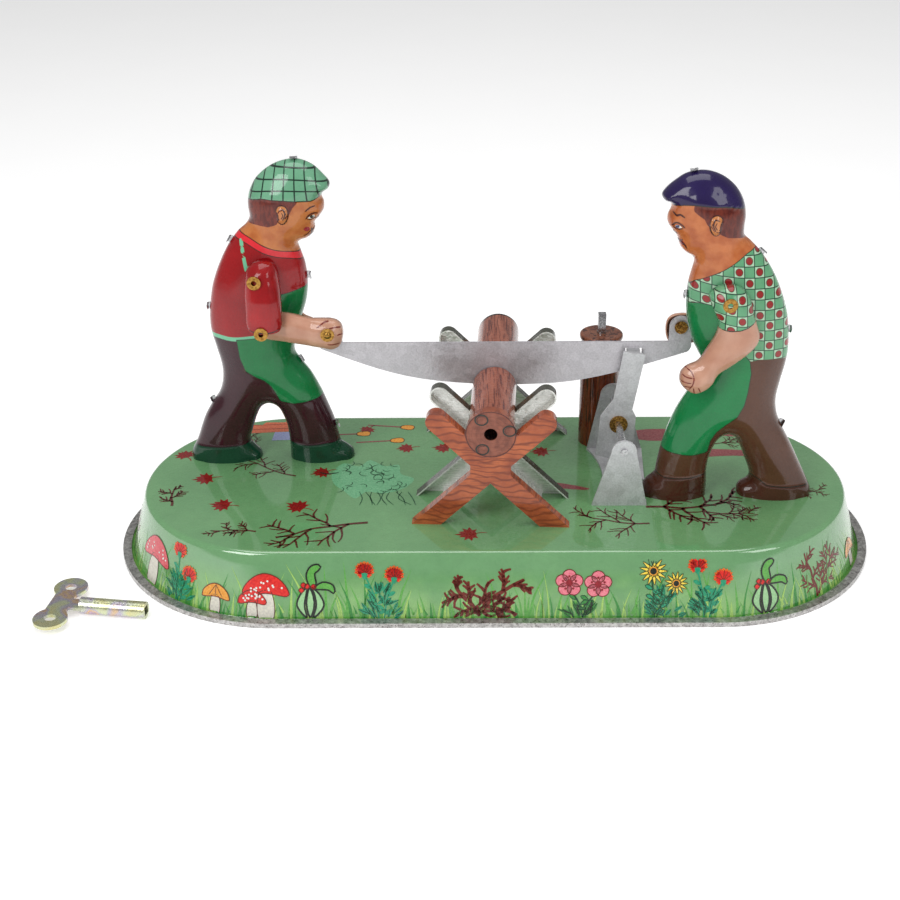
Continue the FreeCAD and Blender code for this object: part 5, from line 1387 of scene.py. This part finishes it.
# ---- seam tabs -------------------------------------------------------------------------------
def make_tabs(prefix, man, places):
    """Small bent tin tabs that clinch the two halves together at the seam."""
    points, faces = [], []
    for k, (x, z, angle) in enumerate(places):
        chance = random.Random(k * 31 + 5)
        turn = math.radians(angle)
        out = np.array([math.cos(turn), math.sin(turn)])
        along = np.array([-out[1], out[0]])
        bend = chance.uniform(0.5, 0.9)
        for thick in (0.0, 0.28):
            for share in (-0.5, 0.0, 0.5):
                for reach, fold in ((-0.6, 0.0), (0.5, 0.0), (0.95, bend), (0.7, bend * 2)):
                    uneven = reach + 0.12 * math.sin(7 * share + k)
                    flat = np.array([x, z]) + out * uneven + along * share * 2.1
                    points.append((flat[0], man["plane"] - fold + thick, flat[1]))
        start = k * 24
        for layer in (0, 12):
            for row in range(2):
                for column in range(3):
                    a = start + layer + row * 4 + column
                    face = (a, a + 1, a + 5, a + 4)
                    faces.append(face if layer else face[::-1])
        border = [0, 1, 2, 3, 7, 11, 10, 9, 8, 4]
        for a, b in zip(border, border[1:] + border[:1]):
            faces.append((start + a, start + b, start + 12 + b, start + 12 + a))
    make_object(f"{prefix}_seam_tabs", "frame", points, faces, [MATERIALS["steel"]],
                smooth=False)


DISC_OUT = 28.0              # from the origin to the log end's face


def make_disc_print():
    """The outline and three small knots printed on the log's end."""
    cosine, sine = math.cos(TRESTLE_TURN), math.sin(TRESTLE_TURN)
    along, out = (cosine, sine), (sine, -cosine)

    def spot(u, v):
        return (along[0] * u + out[0] * DISC_OUT, along[1] * u + out[1] * DISC_OUT, LOG_Z + v), (out[0],
                                                                                                 out[1], 0.0)
    sheet = Print(spot)
    circle = [(math.cos(t), math.sin(t)) for t in np.arange(25) * math.pi / 12]
    sheet.line([(6.9 * a, 6.9 * b) for a, b in circle], 0.32, "twig", 3, 1.0)
    for u, v in ((-2.6, 4.4), (5.2, 1.2), (-2.3, -4.7)):
        sheet.line([(u + 1.75 * a, v + 1.55 * b) for a, b in circle], 0.42, "black", 3, 1.0, 0.4)
        sheet.line([(u + 1.25 * a, v + 1.1 * b) for a, b in circle[4:16]], 0.22, "twig", 3, 1.0, 0.3)
    sheet.build("log_end_print", "frame")


# ---- put it together -------------------------------------------------------------------------
make_base()
make_disc_print()
make_top_print()
make_skirt_print()
make_man("left_man", LEFT, LEFT_FIELDS, draw_left, (-60.0, 99.4), 1)
make_man("right_man", RIGHT, RIGHT_FIELDS, draw_right, (58.3, 103.9), -1)
make_working_arm("left_man", LEFT, -1, LEFT_SHOULDER, LEFT_ELBOW, 1)
make_working_arm("right_man", RIGHT, 1, (72.9, 82.2), (73.1, 66.8), -1)
make_hanging_arm("right_man", RIGHT, -1, HANG_SHOULDER, 1)
make_hanging_arm("left_man", LEFT, 1, (-64.1, 80.9), -1)
make_tabs("left_man", LEFT, [(-76.1, 90.0, 148), (-83.9, 69.4, 175), (-85.2, 38.8, 210), (-58.0, 52.2, 30),
                             (-48.2, 30.4, 15), (-54.4, 79.0, 0), (-56.6, 113.6, 90)])
make_tabs("right_man", RIGHT, [(72.4, 94.2, 45), (52.9, 82.0, 180), (82.0, 71.4, 0), (82.6, 42.2, -20),
                               (52.6, 116.8, 100)])

# ---- camera, light and floor -----------------------------------------------------------------
CAMERA_TARGET = Vector((-13.05, 0.0, 29.05)) * MM
CAMERA_DISTANCE = 436.13 * MM
CAMERA_YAW, CAMERA_ELEVATION, CAMERA_ROLL = (math.radians(a) for a in (0.62, 27.63, -0.52))
back = Vector((math.sin(CAMERA_YAW) * math.cos(CAMERA_ELEVATION),
               -math.cos(CAMERA_YAW) * math.cos(CAMERA_ELEVATION), math.sin(CAMERA_ELEVATION)))
right = (-back).cross(Vector((0, 0, 1))).normalized()
above = right.cross(-back)
across = right * math.cos(CAMERA_ROLL) + above * math.sin(CAMERA_ROLL)
up = above * math.cos(CAMERA_ROLL) - right * math.sin(CAMERA_ROLL)
camera_data = bpy.data.cameras.new("camera")
camera_data.lens = 58.35
camera_data.sensor_width = 36.0
camera_data.clip_start = 0.01
camera = bpy.data.objects.new("camera", camera_data)
camera.matrix_world = Matrix.Translation(CAMERA_TARGET + back * CAMERA_DISTANCE) @ Matrix(
    (across, up, back)).transposed().to_4x4()
bpy.context.scene.collection.objects.link(camera)
bpy.context.scene.camera = camera


def area_light(name, place, size, power, target=(0, 0, 0.05)):
    data = bpy.data.lights.new(name, "AREA")
    data.shape = "RECTANGLE"
    data.size, data.size_y = size
    data.energy = power
    lamp = bpy.data.objects.new(name, data)
    lamp.location = place
    lamp.rotation_euler = (Vector(target) - Vector(place)).to_track_quat("-Z", "Y").to_euler()
    bpy.context.scene.collection.objects.link(lamp)


area_light("key_light", (-0.45, -0.55, 0.60), (0.34, 0.50), 3.3)
area_light("fill_light", (0.55, -0.50, 0.50), (0.30, 0.50), 1.7)
area_light("top_light", (0.0, 0.10, 0.85), (0.7, 0.5), 3.0)

world = bpy.data.worlds.new("studio")
bpy.context.scene.world = world
world.use_nodes = True
world.node_tree.nodes["Background"].inputs["Color"].default_value = (1.0, 1.0, 1.0, 1.0)
world.node_tree.nodes["Background"].inputs["Strength"].default_value = 0.30

floor_shader = Shader("floor", Roughness=0.6, Emission_Color=(1.0, 1.0, 1.0, 1.0), Emission_Strength=0.36)
speckle = floor_shader.noise(0.02, 2.0)
floor_material = floor_shader.finish(floor_shader.mix(speckle, (0.90, 0.90, 0.90, 1),
                                                      (0.93, 0.93, 0.93, 1)))
floor_mesh = bpy.data.meshes.new("floor")
extent = 3.0
floor_mesh.from_pydata([(-extent, -extent, 0), (extent, -extent, 0), (extent, extent, 0),
                        (-extent, extent, 0)],
                       [], [(0, 1, 2, 3)])
floor_mesh.materials.append(floor_material)
floor = bpy.data.objects.new("floor", floor_mesh)
bpy.context.scene.collection.objects.link(floor)
bpy.context.scene.view_settings.view_transform = "Standard"

bpy.context.view_layer.update()
